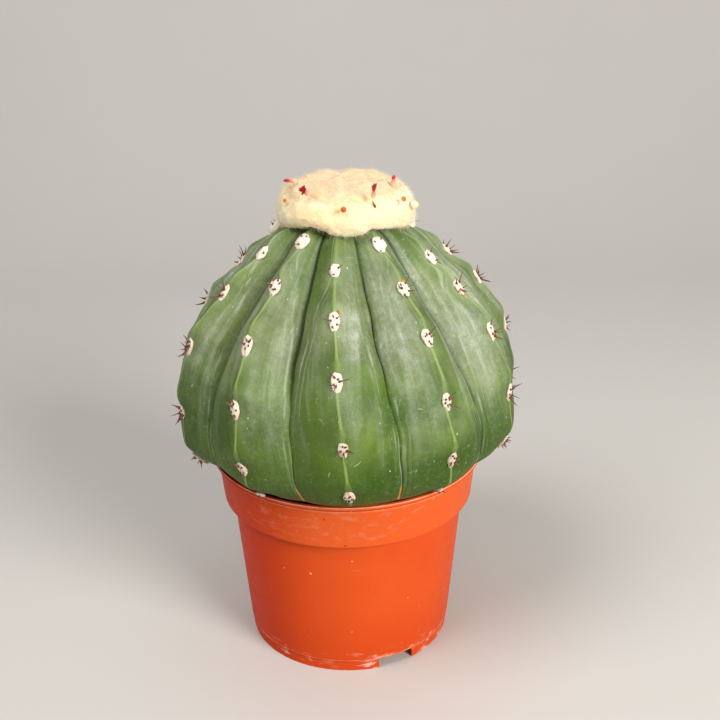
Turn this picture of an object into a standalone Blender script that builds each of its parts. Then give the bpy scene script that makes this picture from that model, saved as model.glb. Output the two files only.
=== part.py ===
"""A Turk's cap cactus in a plastic nursery pot.

The origin is the middle of the foot on the ground, +Z is up and the front rib looks along -Y.
The stem is one grown piece: a ribbed ball with a felt pad and a tuft of spines at each areole.
Its underside sits in a dished seat in the soil, and its ribs just clear the rim of the pot.
"""

import math

import bmesh
import bpy
from mathutils import Matrix, Vector

MM = 0.001
GAP = 0.35 * MM  # air left between two pieces that touch in the real thing
SHARP_ANGLE = math.radians(40)

# Pot: a 12 cm nursery pot with a collar under its lip and a notched foot ring
POT_HEIGHT = 90.5 * MM
LIP_RADIUS = 60.0 * MM
LIP_HEIGHT = 2.1 * MM
LIP_ROUND = 0.5 * MM
COLLAR_TOP_RADIUS = 58.6 * MM
COLLAR_BOTTOM_RADIUS = 56.0 * MM
COLLAR_BOTTOM = 69.5 * MM
COLLAR_ROUND = 1.5 * MM
BODY_TOP_RADIUS = 51.9 * MM
BODY_TOP = 67.0 * MM
FOOT_HEIGHT = 5.2 * MM
BODY_FOOT_RADIUS = 46.6 * MM
FOOT_RADIUS = 45.8 * MM
WALL = 1.2 * MM
POT_SEGMENTS = 72
DRAIN_HOLES = 8
DRAIN_RADIUS = 3.5 * MM
DRAIN_CIRCLE = 30.0 * MM
DRAIN_BEARING = 11.0
NOTCHES = 3
NOTCH_BEARING = 26.5  # degrees, measured from the front towards the right
NOTCH_ANGLE = 21.0
NOTCH_HEIGHT = 4.8 * MM
NOTCH_REACH = 8.0 * MM  # how far a notch's cutter passes through the foot ring
CUTTER_SPARE = 2.0 * MM  # how far a cutter stands out past what it cuts

# Soil
SOIL_TOP = 80.0 * MM
SOIL_TOP_SPREAD = 1.0 * MM  # how much wider the soil is at its top than at the foot of the collar
SOIL_STEP_IN = 0.2 * MM  # extra air where the pot steps in

# Stem: reach from its middle to the rib crests, by angle above the horizontal
STEM_MIDDLE = 115.0 * MM
CREST_REACH = ((-90, 45.0), (-70, 46.0), (-50, 48.5), (-36, 55.0), (-27, 59.4), (-22.5, 63.0), (-18, 68.0),
               (-10, 73.0), (10, 76.0), (30, 77.2), (50, 76.8), (64, 79.0), (72, 81.5), (81, 82.0),
               (90, 82.0))
FURROW_DEPTH = ((-90, 0.0), (-50, 0.3), (-25, 1.0), (-19, 3.0), (-12, 6.2), (-4, 7.8), (4, 8.6), (16, 10.4),
                (30, 12.6), (42, 11.6), (52, 10.0), (64, 8.0), (74, 4.0), (84, 0.0), (90, 0.0))
# Each rib's bearing, how far it turns for each degree of height above its middle, where below all turn
# alike, and how far its areoles stand from the low set (0) towards the high set (1)
RIBS = ((-3.4, -0.06, 0.0), (31.5, -0.06, 1.0), (63.5, -0.02, 0.2), (99.5, 0.04, 1.0), (130.0, 0.0, 0.1),
        (160.0, -0.04, 0.95), (190.0, 0.02, 0.0), (220.5, -0.03, 1.0), (252.0, -0.05, 0.35),
        (292.5, 0.05, 0.0), (323.3, 0.0, 0.9))
RIB_MIDDLE = 22.0
LOWER_TURN = -0.09
RIB_STRAIGHTNESS = 0.42  # 1 gives flat flanks, 0 a round crest with steep furrows
STEPS_ACROSS_RIB = 6
STEM_ROWS = ((-76, -58, 4), (-52, -27, 5), (-22.5, 72, 22), (76, 86, 3))  # lowest, highest and number of rows

# Areoles: the height angles of the low and the high set
LOW_AREOLES = (61.0, 45.0, 27.0, 7.0, -12.0)
HIGH_AREOLES = (68.0, 52.5, 36.0, 17.0, -1.5)
PAD_LENGTH = 5.8 * MM
PAD_WIDTH = 3.6 * MM
PAD_THICKNESS = 2.6 * MM
PAD_PROUD = 0.2 * MM
SPINE_LENGTH = 5.0 * MM
SPINE_FACES = 5
SPINE_FAN_START = 200.0  # turn of the first spine round its pad, in degrees from the right
SPINE_FAN_STEP = 35.0
SPINE_LIFT = 0.75  # how far the spines stand up from the pad, as the tangent of their angle

# Cephalium: the woolly cap on top of the stem
CAP_UNDERSIDE = ((14.0, 197.4), (22.0, 195.2), (25.5, 193.2))
CAP_OUTSIDE = ((27.0, 192.6), (28.6, 196.5), (28.9, 200.5), (28.0, 204.5), (25.4, 208.4), (20.5, 210.8),
               (11.0, 212.0))
CAP_TOP = 212.3
CAP_BASE = 197.0
CAP_SHIFT = 1.0 * MM  # the cap grew a little to the right of the stem's middle
CAP_SEGMENTS = 48

# Flowers and fruits: name, kind, bearing and height angle of its seat on the cap, and tilt from upright
BLOOMS = (
    ("flower_front_right", "flower", 23.0, 23.5, 14.0),
    ("flower_back_right", "flower", 65.0, 34.0, 12.0),
    ("flower_front_left", "flower", -37.0, 24.5, 44.0),
    ("flower_back_left", "flower", -76.0, 33.0, 68.0),
    ("bud_left", "bud", -61.0, 16.0, 60.0),
    ("bud_front", "bud", -2.0, 15.0, 72.0),
    ("bud_right", "bud", 56.0, 17.0, 55.0),
    ("fruit_right", "fruit", 70.0, 9.0, 82.0),
)
BLOOM_PROFILES = {  # radius and height above the wool, from the tip down
    "flower": ((0.5, 5.6), (1.3, 4.8), (1.1, 3.0), (0.9, 1.2), (0.8, 0.0)),
    "bud": ((0.4, 2.2), (1.1, 1.6), (1.3, 0.8), (1.0, 0.0)),
    "fruit": ((0.7, 3.0), (1.9, 2.2), (2.2, 1.1), (1.7, 0.0)),
}
BLOOM_SEGMENTS = 10

# Colour, roughness and metallic value of each piece
POT_ORANGE = (0.78, 0.13, 0.03, 1.0), 0.38, 0.0
SOIL_BROWN = (0.035, 0.022, 0.014, 1.0), 0.95, 0.0
STEM_GREEN = (0.10, 0.19, 0.06, 1.0), 0.5, 0.0
WOOL_CREAM = (0.86, 0.74, 0.50, 1.0), 0.95, 0.0
FLOWER_RED = (0.55, 0.02, 0.05, 1.0), 0.45, 0.0
BUD_ORANGE = (0.75, 0.12, 0.02, 1.0), 0.45, 0.0


def clear_scene():
    for obj in list(bpy.data.objects):
        bpy.data.objects.remove(obj, do_unlink=True)


def new_collection(name):
    collection = bpy.data.collections.new(name)
    bpy.context.scene.collection.children.link(collection)
    return collection


def new_material(name, look):
    colour, roughness, metallic = look
    material = bpy.data.materials.new(name)
    material.use_nodes = True
    shader = material.node_tree.nodes["Principled BSDF"]
    shader.inputs["Base Color"].default_value = colour
    shader.inputs["Roughness"].default_value = roughness
    shader.inputs["Metallic"].default_value = metallic
    material.diffuse_color = colour
    return material


def new_object(name, bm, collection, material=None):
    mesh = bpy.data.meshes.new(name)
    bm.to_mesh(mesh)
    bm.free()
    obj = bpy.data.objects.new(name, mesh)
    collection.objects.link(obj)
    if material:
        mesh.materials.append(material)
        mesh.shade_smooth()
        mesh.set_sharp_from_angle(angle=SHARP_ANGLE)
    return obj


def smooth_value(knots, x):
    """The value at x of a smooth curve through the knots, flat beyond the two ends."""
    if x <= knots[0][0]:
        return knots[0][1]
    for i in range(len(knots) - 1):
        x0, y0 = knots[i]
        x1, y1 = knots[i + 1]
        if x <= x1:
            before = knots[max(i - 1, 0)]
            after = knots[min(i + 2, len(knots) - 1)]
            slope0 = (y1 - before[1]) / (x1 - before[0])
            slope1 = (after[1] - y0) / (after[0] - x0)
            t = (x - x0) / (x1 - x0)
            span = x1 - x0
            return ((2 * t**3 - 3 * t**2 + 1) * y0 + (t**3 - 2 * t**2 + t) * span * slope0
                    + (3 * t**2 - 2 * t**3) * y1 + (t**3 - t**2) * span * slope1)
    return knots[-1][1]


def turned(name, profile, segments, collection, material=None):
    """A solid of revolution: the profile is radius and height, from the axis over the outside to the axis."""
    bm = bmesh.new()
    points = [bm.verts.new((radius, 0.0, height)) for radius, height in profile]
    for first, second in zip(points, points[1:]):
        bm.edges.new((first, second))
    obj = new_object(name, bm, collection, material)
    screw = obj.modifiers.new("turn", "SCREW")
    screw.axis = "Z"
    screw.steps = segments
    screw.render_steps = segments
    screw.use_merge_vertices = True
    screw.merge_threshold = 0.00001
    screw.use_smooth_shade = True
    return obj


def cut(obj, cutter):
    boolean = obj.modifiers.new("cut " + cutter.name, "BOOLEAN")
    boolean.operation = "DIFFERENCE"
    boolean.solver = "EXACT"
    boolean.object = cutter
    hide_tool(cutter)


def hide_tool(obj):
    obj.hide_render = True
    obj.display_type = "WIRE"


def bearing_point(bearing, radius, height):
    """A point from its bearing in degrees, from the front towards the right, its radius and height."""
    angle = math.radians(bearing)
    return Vector((radius * math.sin(angle), -radius * math.cos(angle), height))


# Pot

def pot_wall_profile():
    """The pot's outline: down its outside from the lip, round the foot ring, and up its inside."""
    lip_bottom = POT_HEIGHT - LIP_HEIGHT
    return [
        (0.0, FOOT_HEIGHT + WALL),
        (BODY_FOOT_RADIUS - WALL, FOOT_HEIGHT + WALL),
        (BODY_TOP_RADIUS - WALL, BODY_TOP + WALL),
        (COLLAR_BOTTOM_RADIUS - WALL, COLLAR_BOTTOM + WALL),
        (COLLAR_TOP_RADIUS - WALL, lip_bottom),
        (LIP_RADIUS - WALL, POT_HEIGHT),
        (LIP_RADIUS - LIP_ROUND, POT_HEIGHT),
        (LIP_RADIUS, POT_HEIGHT - LIP_ROUND),
        (LIP_RADIUS, lip_bottom + LIP_ROUND),
        (LIP_RADIUS - LIP_ROUND, lip_bottom),
        (COLLAR_TOP_RADIUS, lip_bottom - LIP_ROUND),
        (COLLAR_BOTTOM_RADIUS, COLLAR_BOTTOM),
        (COLLAR_BOTTOM_RADIUS - COLLAR_ROUND / 2, COLLAR_BOTTOM - COLLAR_ROUND),
        (BODY_TOP_RADIUS, BODY_TOP),
        (BODY_FOOT_RADIUS, FOOT_HEIGHT + 0.3 * MM),
        (FOOT_RADIUS + 0.3 * MM, FOOT_HEIGHT),
        (FOOT_RADIUS, 0.0),
        (FOOT_RADIUS - WALL, 0.0),
        (FOOT_RADIUS - WALL, FOOT_HEIGHT),
        (0.0, FOOT_HEIGHT),
    ]


def make_pot(parts, tools, material):
    pot = turned("nursery_pot", pot_wall_profile(), POT_SEGMENTS, parts, material)
    for number in range(DRAIN_HOLES):
        bearing = DRAIN_BEARING + number * 360.0 / DRAIN_HOLES
        centre = bearing_point(bearing, DRAIN_CIRCLE, FOOT_HEIGHT + WALL / 2)
        bm = bmesh.new()
        bmesh.ops.create_cone(bm, cap_ends=True, segments=16, radius1=DRAIN_RADIUS, radius2=DRAIN_RADIUS,
                              depth=WALL + 2 * CUTTER_SPARE, matrix=Matrix.Translation(centre))
        cut(pot, new_object(f"drain_cutter_{number + 1}", bm, tools))
    width = 2 * FOOT_RADIUS * math.sin(math.radians(NOTCH_ANGLE / 2))
    for number in range(NOTCHES):
        bearing = NOTCH_BEARING + number * 360.0 / NOTCHES
        centre = bearing_point(bearing, FOOT_RADIUS, (NOTCH_HEIGHT - CUTTER_SPARE) / 2)
        bm = bmesh.new()
        turn = Matrix.Rotation(math.radians(bearing), 4, "Z")
        size = Matrix.Diagonal((width, NOTCH_REACH, NOTCH_HEIGHT + CUTTER_SPARE, 1.0))
        bmesh.ops.create_cube(bm, size=1.0, matrix=Matrix.Translation(centre) @ turn @ size)
        cut(pot, new_object(f"notch_cutter_{number + 1}", bm, tools))
    return pot


# Stem

def crest_reach(angle):
    return smooth_value(CREST_REACH, angle) * MM


def rib_section(across):
    """How far the surface has dropped from crest (0) to furrow (1), as a share of the furrow's depth."""
    return RIB_STRAIGHTNESS * across + (1.0 - RIB_STRAIGHTNESS) * across**3


def stem_point(rib, angle, across=0.0, lift=0.0):
    """A point of the stem: across is 0 on a rib's crest and 1 in a furrow; lift raises the point."""
    bearing, lean, _ = rib
    reach = crest_reach(angle) - smooth_value(FURROW_DEPTH, angle) * MM * rib_section(across) + lift
    turn = (lean if angle > RIB_MIDDLE else LOWER_TURN) * (angle - RIB_MIDDLE)
    radians = math.radians(angle)
    return bearing_point(bearing + turn, reach * math.cos(radians), STEM_MIDDLE + reach * math.sin(radians))


def between(first, second, share):
    """A line that runs between two ribs, given as they are."""
    return tuple(a + (b - a) * share for a, b in zip(first, second))


def rib_columns():
    """The line and the place across the rib of every column of the stem's mesh."""
    columns = []
    half = STEPS_ACROSS_RIB // 2
    first_again = (RIBS[0][0] + 360.0,) + RIBS[0][1:]
    for rib, following in zip(RIBS, RIBS[1:] + (first_again,)):
        for step in range(STEPS_ACROSS_RIB):
            share = step / STEPS_ACROSS_RIB
            across = min(step, STEPS_ACROSS_RIB - step) / half
            columns.append((between(rib, following, share), across))
    return columns


def stem_angles():
    angles = []
    for low, high, rows in STEM_ROWS:
        angles += [low + (high - low) * row / (rows - 1) for row in range(rows)]
    return angles


def make_stem_ball(collection, material):
    """The ribbed ball, lofted from rings that change from round at the poles to ribbed in the middle."""
    bm = bmesh.new()
    columns = rib_columns()
    rings = [[bm.verts.new(stem_point(line, angle, across)) for line, across in columns]
             for angle in stem_angles()]
    bottom = bm.verts.new((0.0, 0.0, STEM_MIDDLE - crest_reach(-90)))
    top = bm.verts.new((0.0, 0.0, STEM_MIDDLE + crest_reach(90)))
    count = len(columns)
    for lower, upper in zip(rings, rings[1:]):
        for i in range(count):
            j = (i + 1) % count
            bm.faces.new((lower[i], lower[j], upper[j], upper[i]))
    for i in range(count):
        j = (i + 1) % count
        bm.faces.new((bottom, rings[0][j], rings[0][i]))
        bm.faces.new((top, rings[-1][i], rings[-1][j]))
    bmesh.ops.triangulate(bm, faces=bm.faces[:])
    return new_object("cactus_stem", bm, collection, material)


def areole_places():
    """The rib and the height angle of every areole."""
    return [(rib, low + (high - low) * rib[2])
            for rib in RIBS
            for low, high in zip(LOW_AREOLES, HIGH_AREOLES)]


def areole_frame(rib, angle):
    """The matrix that stands a pad on the crest: X across the rib, Y up along it, Z outwards."""
    place = stem_point(rib, angle, lift=PAD_PROUD)
    along = (stem_point(rib, angle + 1) - stem_point(rib, angle - 1)).normalized()
    outwards = (place - Vector((0.0, 0.0, STEM_MIDDLE))).normalized()
    across = along.cross(outwards).normalized()
    outwards = across.cross(along)
    frame = Matrix((across, along, outwards)).transposed().to_4x4()
    return Matrix.Translation(place) @ frame


def add_areole(bm, frame):
    """A felt pad with spines drawn out of the faces round its lower edge."""
    size = Matrix.Diagonal((PAD_WIDTH / 2, PAD_LENGTH / 2, PAD_THICKNESS / 2, 1.0))
    pad = bmesh.ops.create_icosphere(bm, subdivisions=2, radius=1.0, matrix=frame @ size)
    faces = {face for vert in pad["verts"] for face in vert.link_faces}
    to_pad = frame.inverted()
    turns = [math.radians(SPINE_FAN_START + SPINE_FAN_STEP * number) for number in range(SPINE_FACES)]
    wanted = [Vector((math.cos(turn), math.sin(turn), SPINE_LIFT)).normalized() for turn in turns]
    chosen = []
    for direction in wanted:
        left = [face for face in faces if face not in chosen]
        facing = [(to_pad @ face.calc_center_median()).normalized() @ direction for face in left]
        chosen.append(left[facing.index(max(facing))])
    tips = {}
    for face, direction in zip(chosen, wanted):
        tips[face] = face.calc_center_median() + (frame.to_3x3() @ direction) * SPINE_LENGTH
    for face, tip in tips.items():
        centre = bmesh.ops.poke(bm, faces=[face])["verts"][0]
        centre.co = tip


def make_stem(parts, tools, material):
    stem = make_stem_ball(parts, material)
    bm = bmesh.new()
    for rib, angle in areole_places():
        add_areole(bm, areole_frame(rib, angle))
    areoles = new_object("areoles_to_join", bm, tools)
    join = stem.modifiers.new("join areoles", "BOOLEAN")
    join.operation = "UNION"
    join.solver = "EXACT"
    join.object = areoles
    hide_tool(areoles)
    return stem


# Soil

def make_soil(parts, material):
    """The soil, with a dished seat that follows the underside of the stem."""
    seat = []
    for angle in [-90.0] + stem_angles():
        reach = crest_reach(angle) + GAP
        radius = reach * math.cos(math.radians(angle))
        height = STEM_MIDDLE + reach * math.sin(math.radians(angle))
        if height > SOIL_TOP:
            last_radius, last_height = seat[-1]
            share = (SOIL_TOP - last_height) / (height - last_height)
            seat.append((last_radius + (radius - last_radius) * share, SOIL_TOP))
            break
        seat.append((radius, height))
    seat[0] = (0.0, seat[0][1])
    inset = WALL + GAP
    profile = seat + [
        (COLLAR_BOTTOM_RADIUS - inset + SOIL_TOP_SPREAD, SOIL_TOP),
        (COLLAR_BOTTOM_RADIUS - inset - SOIL_STEP_IN, COLLAR_BOTTOM + WALL + GAP),
        (BODY_TOP_RADIUS - inset - SOIL_STEP_IN, BODY_TOP + WALL + GAP),
        (BODY_FOOT_RADIUS - inset, FOOT_HEIGHT + WALL + GAP),
        (0.0, FOOT_HEIGHT + WALL + GAP),
    ]
    return turned("potting_soil", profile, POT_SEGMENTS, parts, material)


# Cephalium and what grows out of it

def make_cap(parts, material):
    underside = [(0.0, CAP_UNDERSIDE[0][1] * MM)] + [(r * MM, z * MM) for r, z in CAP_UNDERSIDE]
    outside = [(r * MM, z * MM) for r, z in CAP_OUTSIDE] + [(0.0, CAP_TOP * MM)]
    profile = (underside + outside)[::-1]
    cap = turned("cephalium", profile, CAP_SEGMENTS, parts, material)
    cap.location.x = CAP_SHIFT
    return cap


def cap_seat(height_angle):
    """The radius, height and normal of the cap's outside, seen at an angle from the middle of its base."""
    points = CAP_OUTSIDE + ((0.0, CAP_TOP),)
    for (r0, z0), (r1, z1) in zip(points, points[1:]):
        angle0 = math.degrees(math.atan2(z0 - CAP_BASE, r0))
        angle1 = math.degrees(math.atan2(z1 - CAP_BASE, r1))
        if angle0 <= height_angle <= angle1:
            share = (height_angle - angle0) / (angle1 - angle0)
            normal = Vector((z1 - z0, 0.0, r0 - r1)).normalized()
            return (r0 + (r1 - r0) * share) * MM, (z0 + (z1 - z0) * share) * MM, normal
    raise ValueError("the cap has no surface at that angle")


def make_bloom(name, kind, bearing, height_angle, tilt, parts, material):
    radius, height, normal = cap_seat(height_angle)
    outline = [(r * MM, z * MM) for r, z in BLOOM_PROFILES[kind]]
    profile = [(0.0, outline[0][1])] + outline + [(0.0, outline[-1][1])]
    bloom = turned(name, profile, BLOOM_SEGMENTS, parts, material)
    outwards = Matrix.Rotation(math.radians(bearing - 90.0), 3, "Z")
    lean = math.radians(tilt)
    direction = Vector((math.sin(lean), 0.0, math.cos(lean)))
    widest = max(r for r, _ in outline)
    lift = GAP + widest * math.sin(direction.angle(normal))
    seat = bearing_point(bearing, radius, height) + outwards @ (normal * lift)
    bloom.location = seat + Vector((CAP_SHIFT, 0.0, 0.0))
    bloom.rotation_euler = (outwards @ direction).to_track_quat("Z", "Y").to_euler()
    return bloom


def main():
    clear_scene()
    parts = new_collection("potted_turks_cap_cactus")
    tools = new_collection("cutters")
    make_pot(parts, tools, new_material("pot_plastic", POT_ORANGE))
    make_soil(parts, new_material("potting_soil", SOIL_BROWN))
    make_stem(parts, tools, new_material("stem_skin", STEM_GREEN))
    make_cap(parts, new_material("cap_wool", WOOL_CREAM))
    looks = {"flower": FLOWER_RED, "bud": BUD_ORANGE, "fruit": BUD_ORANGE}
    for name, kind, bearing, height_angle, tilt in BLOOMS:
        make_bloom(name, kind, bearing, height_angle, tilt, parts, new_material(name, looks[kind]))


main()
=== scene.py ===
"""A Turk's cap cactus in a plastic nursery pot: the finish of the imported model.

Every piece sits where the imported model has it, in metres, with +Z up and the front rib along -Y.
A bearing is in degrees from the front towards the right. A height angle is in degrees above the
horizontal, seen from the middle of the stem.
"""

import math
import random
from collections import namedtuple

import bpy
import numpy as np
from mathutils import Matrix, Vector, noise


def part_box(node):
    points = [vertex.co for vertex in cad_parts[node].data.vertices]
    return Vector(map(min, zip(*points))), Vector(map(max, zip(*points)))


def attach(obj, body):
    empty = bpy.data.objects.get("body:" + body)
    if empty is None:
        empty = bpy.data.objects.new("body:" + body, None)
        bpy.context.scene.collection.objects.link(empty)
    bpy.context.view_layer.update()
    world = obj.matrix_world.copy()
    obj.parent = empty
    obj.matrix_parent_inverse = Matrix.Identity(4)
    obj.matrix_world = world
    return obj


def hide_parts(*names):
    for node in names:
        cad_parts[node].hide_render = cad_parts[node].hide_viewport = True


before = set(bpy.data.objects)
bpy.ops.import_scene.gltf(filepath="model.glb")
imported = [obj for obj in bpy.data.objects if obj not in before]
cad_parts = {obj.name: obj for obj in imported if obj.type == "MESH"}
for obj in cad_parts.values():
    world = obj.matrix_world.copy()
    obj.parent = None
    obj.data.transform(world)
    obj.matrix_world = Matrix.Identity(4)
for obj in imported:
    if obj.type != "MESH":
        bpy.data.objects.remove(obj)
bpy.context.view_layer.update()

bl_info = {
    "name": "Potted Turk's Cap Cactus",
    "version": (1, 0, 0),
    "blender": (4, 5, 0),
    "location": "View3D > Sidebar > Cactus",
    "description": "Models a ribbed cactus with a woolly cap in a plastic nursery pot",
    "category": "Object",
}

MM = 0.001
DONE = {"FINISHED"}

# Pot
_, POT_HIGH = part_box("nursery_pot")
POT_HEIGHT = POT_HIGH.z
LIP_RADIUS = POT_HIGH.x
LIP_BOTTOM = POT_HEIGHT - 1.7 * MM
COLLAR_TOP_RADIUS = LIP_RADIUS - 2.1 * MM
COLLAR_BOTTOM_RADIUS = LIP_RADIUS - 4.0 * MM
COLLAR_BOTTOM = POT_HEIGHT - 21.0 * MM
BODY_TOP_RADIUS = LIP_RADIUS - 8.1 * MM
BODY_TOP = POT_HEIGHT - 23.5 * MM
FOOT_HEIGHT = 5.2 * MM
BODY_FOOT_RADIUS = 46.6 * MM
FOOT_RADIUS = 45.8 * MM
FLOOR_MIDDLE_RADIUS = 4.0 * MM
POT_SIDES = 144
EDGE_ROUNDING = 0.42 * MM
NOTCH_BEARINGS = (26.5, 146.5, 266.5)
NOTCH_ANGLE = 21.0
NOTCH_HEIGHT = 4.8 * MM
NOTCH_DEPTH = 8.0 * MM
DRAIN_HOLES = 8
DRAIN_RADIUS = 3.5 * MM
DRAIN_CIRCLE = 30.0 * MM
DRAIN_BEARING = 11.0

# Soil
SOIL_LOW, SOIL_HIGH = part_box("potting_soil")
SOIL_TOP = SOIL_HIGH.z
SOIL_GAP = 0.35 * MM
SEAT_RADIUS = 50.0 * MM
SEAT_DROP = 11.0 * MM
SOIL_SIDES = 120
SOIL_LUMPS = 1.4 * MM
CRUMBS = 420
CRUMB_SIZES = (0.5, 1.5)  # smallest and largest radius in millimetres

# Stem: reach from its middle to the rib crests, and depth of the furrows, by height angle
STEM_MIDDLE = 115.0 * MM
CREST_REACH = ((-90, 45.0), (-70, 46.0), (-50, 48.5), (-36, 55.0), (-27, 59.4), (-22.5, 63.1), (-18, 68.2),
               (-10, 73.0), (10, 76.0), (30, 77.2), (50, 76.8), (64, 79.0), (72, 81.5), (81, 82.0),
               (90, 82.0))
FURROW_DEPTH = ((-90, 0.0), (-50, 0.2), (-25, 0.4), (-19, 0.9), (-12, 1.8), (-4, 3.0), (4, 4.4), (16, 7.4),
                (30, 10.8), (42, 10.6), (52, 8.8), (64, 5.8), (74, 2.6), (84, 0.0), (90, 0.0))
SLIT_DEPTH = ((-30, 0.0), (0, 0.0), (14, 0.0), (24, 0.5), (34, 1.7), (48, 2.0), (62, 0.8), (74, 0.2),
              (80, 0.0))
SLIT_START = 0.955  # where the slit begins, as a share of the way from crest to furrow
FLANK_STRAIGHTNESS = ((-22, 0.40), (-5, 0.50), (8, 0.66), (30, 0.76), (60, 0.78), (75, 0.70))
# A rib: its bearing, how far it turns for each degree of height above its middle, where below all turn
# alike, the height angles of its areoles from the cap down, how far its flank is drawn in under the next
# rib, and how much slimmer the rib is above its middle, both in millimetres
Rib = namedtuple("Rib", "bearing lean areoles drawn_in slimmer")
RIBS = (
    Rib(-2.6, -0.08, (61.0, 44.5, 26.5, 7.0, -10.5), 0.0, 0.0),
    Rib(31.5, -0.06, (68.8, 52.9, 36.5, 17.3, -1.8, -18.0), 1.2, 0.0),
    Rib(63.5, -0.02, (59.5, 47.3, 30.6, 10.0, -8.5), 1.5, 0.0),
    Rib(99.5, 0.04, (70.5, 54.5, 40.0, 20.5, 1.0, -18.0), 0.5, 0.0),
    Rib(130.0, 0.0, (62.0, 45.3, 27.5, 8.0, -9.5), 1.5, 0.0),
    Rib(160.0, -0.04, (68.0, 52.0, 35.5, 16.5, -1.5, -18.0), 0.0, 0.0),
    Rib(190.0, 0.02, (61.0, 44.5, 26.5, 7.0, -10.5), 1.5, 0.0),
    Rib(220.5, -0.03, (68.5, 52.5, 36.0, 17.0, -0.8, -18.0), 0.5, 0.0),
    Rib(255.0, -0.05, (67.5, 51.3, 32.0, 10.5, -7.0), 1.0, 2.7),
    Rib(292.5, 0.05, (61.8, 45.5, 25.7, 4.8, -13.0), 0.8, 0.0),
    Rib(323.3, 0.0, (69.8, 53.4, 34.0, 14.8, -4.3, -17.6), 3.6, 0.0),
)
FRONT_RIB, LEFT_RIB, FRONT_LEFT_RIB = 0, 9, 10
RIB_MIDDLE = 22.0
LOWER_TURN = -0.09
STEPS_ACROSS_FLANK = 16
STEM_ROWS = 214
ROW_ANGLES = ((0.0, -90.0), (0.1, -32.0), (0.9, 73.0), (1.0, 90.0))  # share of the rows, height angle
CREST_RADIUS = 76.0  # the usual reach of a crest, in millimetres
AREOLE_RISE = 1.33  # millimetres along a crest for each degree of height angle
# Beside each furrow runs a path of pale lines: the lines' distance from it, width and strength
GROWTH_LINES = ((0.0, 0.5, 0.44), (2.2, 0.35, 0.26), (5.0, 1.6, 0.14))

# Areoles, by rib number and height angle. Woolly ones press against the cap's sides
WOOLLY_AREOLES = ((3, 70.5), (8, 67.5))
PAD_SIZES = {(0, 61.0): 0.84, (1, 68.8): 1.14, (10, 69.8): 1.16, (0, -10.5): 1.1}
SIDE_SPINES = (0.4, 0.5, 0.7, 0.85, 1.0, 1.1)  # shares of the usual length on the ribs at the sides
FRONT_SPINES = (0.25, 0.35, 0.45, 0.7, 0.9, 1.15)
# Beads of nectar: rib and areole number, place across and along the areole, and radius in millimetres
NECTAR = ((0, 1, 2.2, 3.4, 0.62), (1, 1, 0.9, 3.0, 0.6), (2, 1, -2.1, -1.6, 0.5), (2, 1, -0.8, -5.0, 0.5),
          (2, 1, -1.2, -4.0, 0.35))

# Woolly cap: share of the way, radius and height from the middle of its underside to that of its top
CAP_LOW, CAP_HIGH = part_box("cephalium")
CAP_MIDDLE = (CAP_LOW.x + CAP_HIGH.x) / 2
CAP_OUTLINE = ((0.0, 0.0, 188.0), (0.08, 12.0, 189.0), (0.15, 22.0, 192.6), (0.2, 26.0, 193.6),
               (0.235, 27.7, 194.9), (0.33, 28.3, 198.2), (0.45, 27.7, 201.2), (0.56, 26.0, 204.6),
               (0.66, 23.0, 207.8), (0.76, 18.4, 209.6), (0.88, 10.0, 210.4), (1.0, 0.0, 210.5))
# How much higher the hem hangs at each bearing, in millimetres: it climbs over the ribs beside the front
CAP_HEM = ((-180, -0.6), (-90, -1.4), (-72, -0.9), (-58, 0.4), (-44, 2.2), (-32, 2.7), (-21, 1.7),
           (-11, 0.1), (12, 0.0), (21, 1.5), (33, 1.6), (46, 1.1), (60, -0.4), (75, -0.9), (90, -1.1),
           (180, -0.6))
CAP_COLUMNS, CAP_ROWS = 240, 130
UNDERSIDE_TOP = 191.0 * MM  # no fibres lie below this height
HEM_TOP = 195.0 * MM  # fibres hang out of the wool below it
TOP_COLOUR_START, TOP_COLOUR_END = 205.0 * MM, 209.0 * MM
FIBRE_LENGTHS = (1.0, 2.7)  # shortest and longest, in millimetres
FIBRE_RADII = (0.04, 0.06)

# Flowers: node, bearing, tilt from upright, petals, their length and spread, darkness, and how far the
# seat is sunk in the wool
FLOWERS = (
    ("flower_front_right", 23.0, 14.0, 12, 4.4, 0.34, 0.1, 0.0),
    ("flower_back_right", 65.0, 8.0, 8, 2.2, 0.25, 0.05, 1.4),
    ("flower_front_left", -50.0, 52.0, 13, 3.7, 0.85, 0.45, 0.0),
    ("flower_back_left", -76.0, 84.0, 8, 3.0, 0.2, 0.4, 1.3),
)
# Buds and the fruit: node, bearing, tilt and radius
BUDS = (
    ("bud_left", -61.0, 60.0, 0.8),
    ("bud_front", -2.0, 72.0, 1.15),
    ("bud_right", 56.0, 55.0, 1.05),
    ("fruit_right", 70.0, 82.0, 1.75),
)
PETAL_TURN = 1.618  # from one petal to the next, as a share of an even spacing
PETAL_WIDTHS = (0.6, 0.82)  # narrowest and widest half width, in millimetres
DRY_PETAL_PLACE = (28, 26 * MM, 205.2 * MM)  # bearing, radius and height

# Stage
CAMERA_PLACE = Vector((0.0, -0.447, 0.3125))
CAMERA_PITCH = 22.196  # degrees below the horizontal
CAMERA_YAW = 0.786  # degrees towards the right
CAMERA_ROLL = -0.606
FLOOR_SIZE = 6.0
WALL_DISTANCE = 1.1
WALL_HEIGHT = 3.0
SWEEP_WIDTH = 0.6
LIGHT_TARGET = Vector((0, 0, 0.11))


# Curves and places

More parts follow.
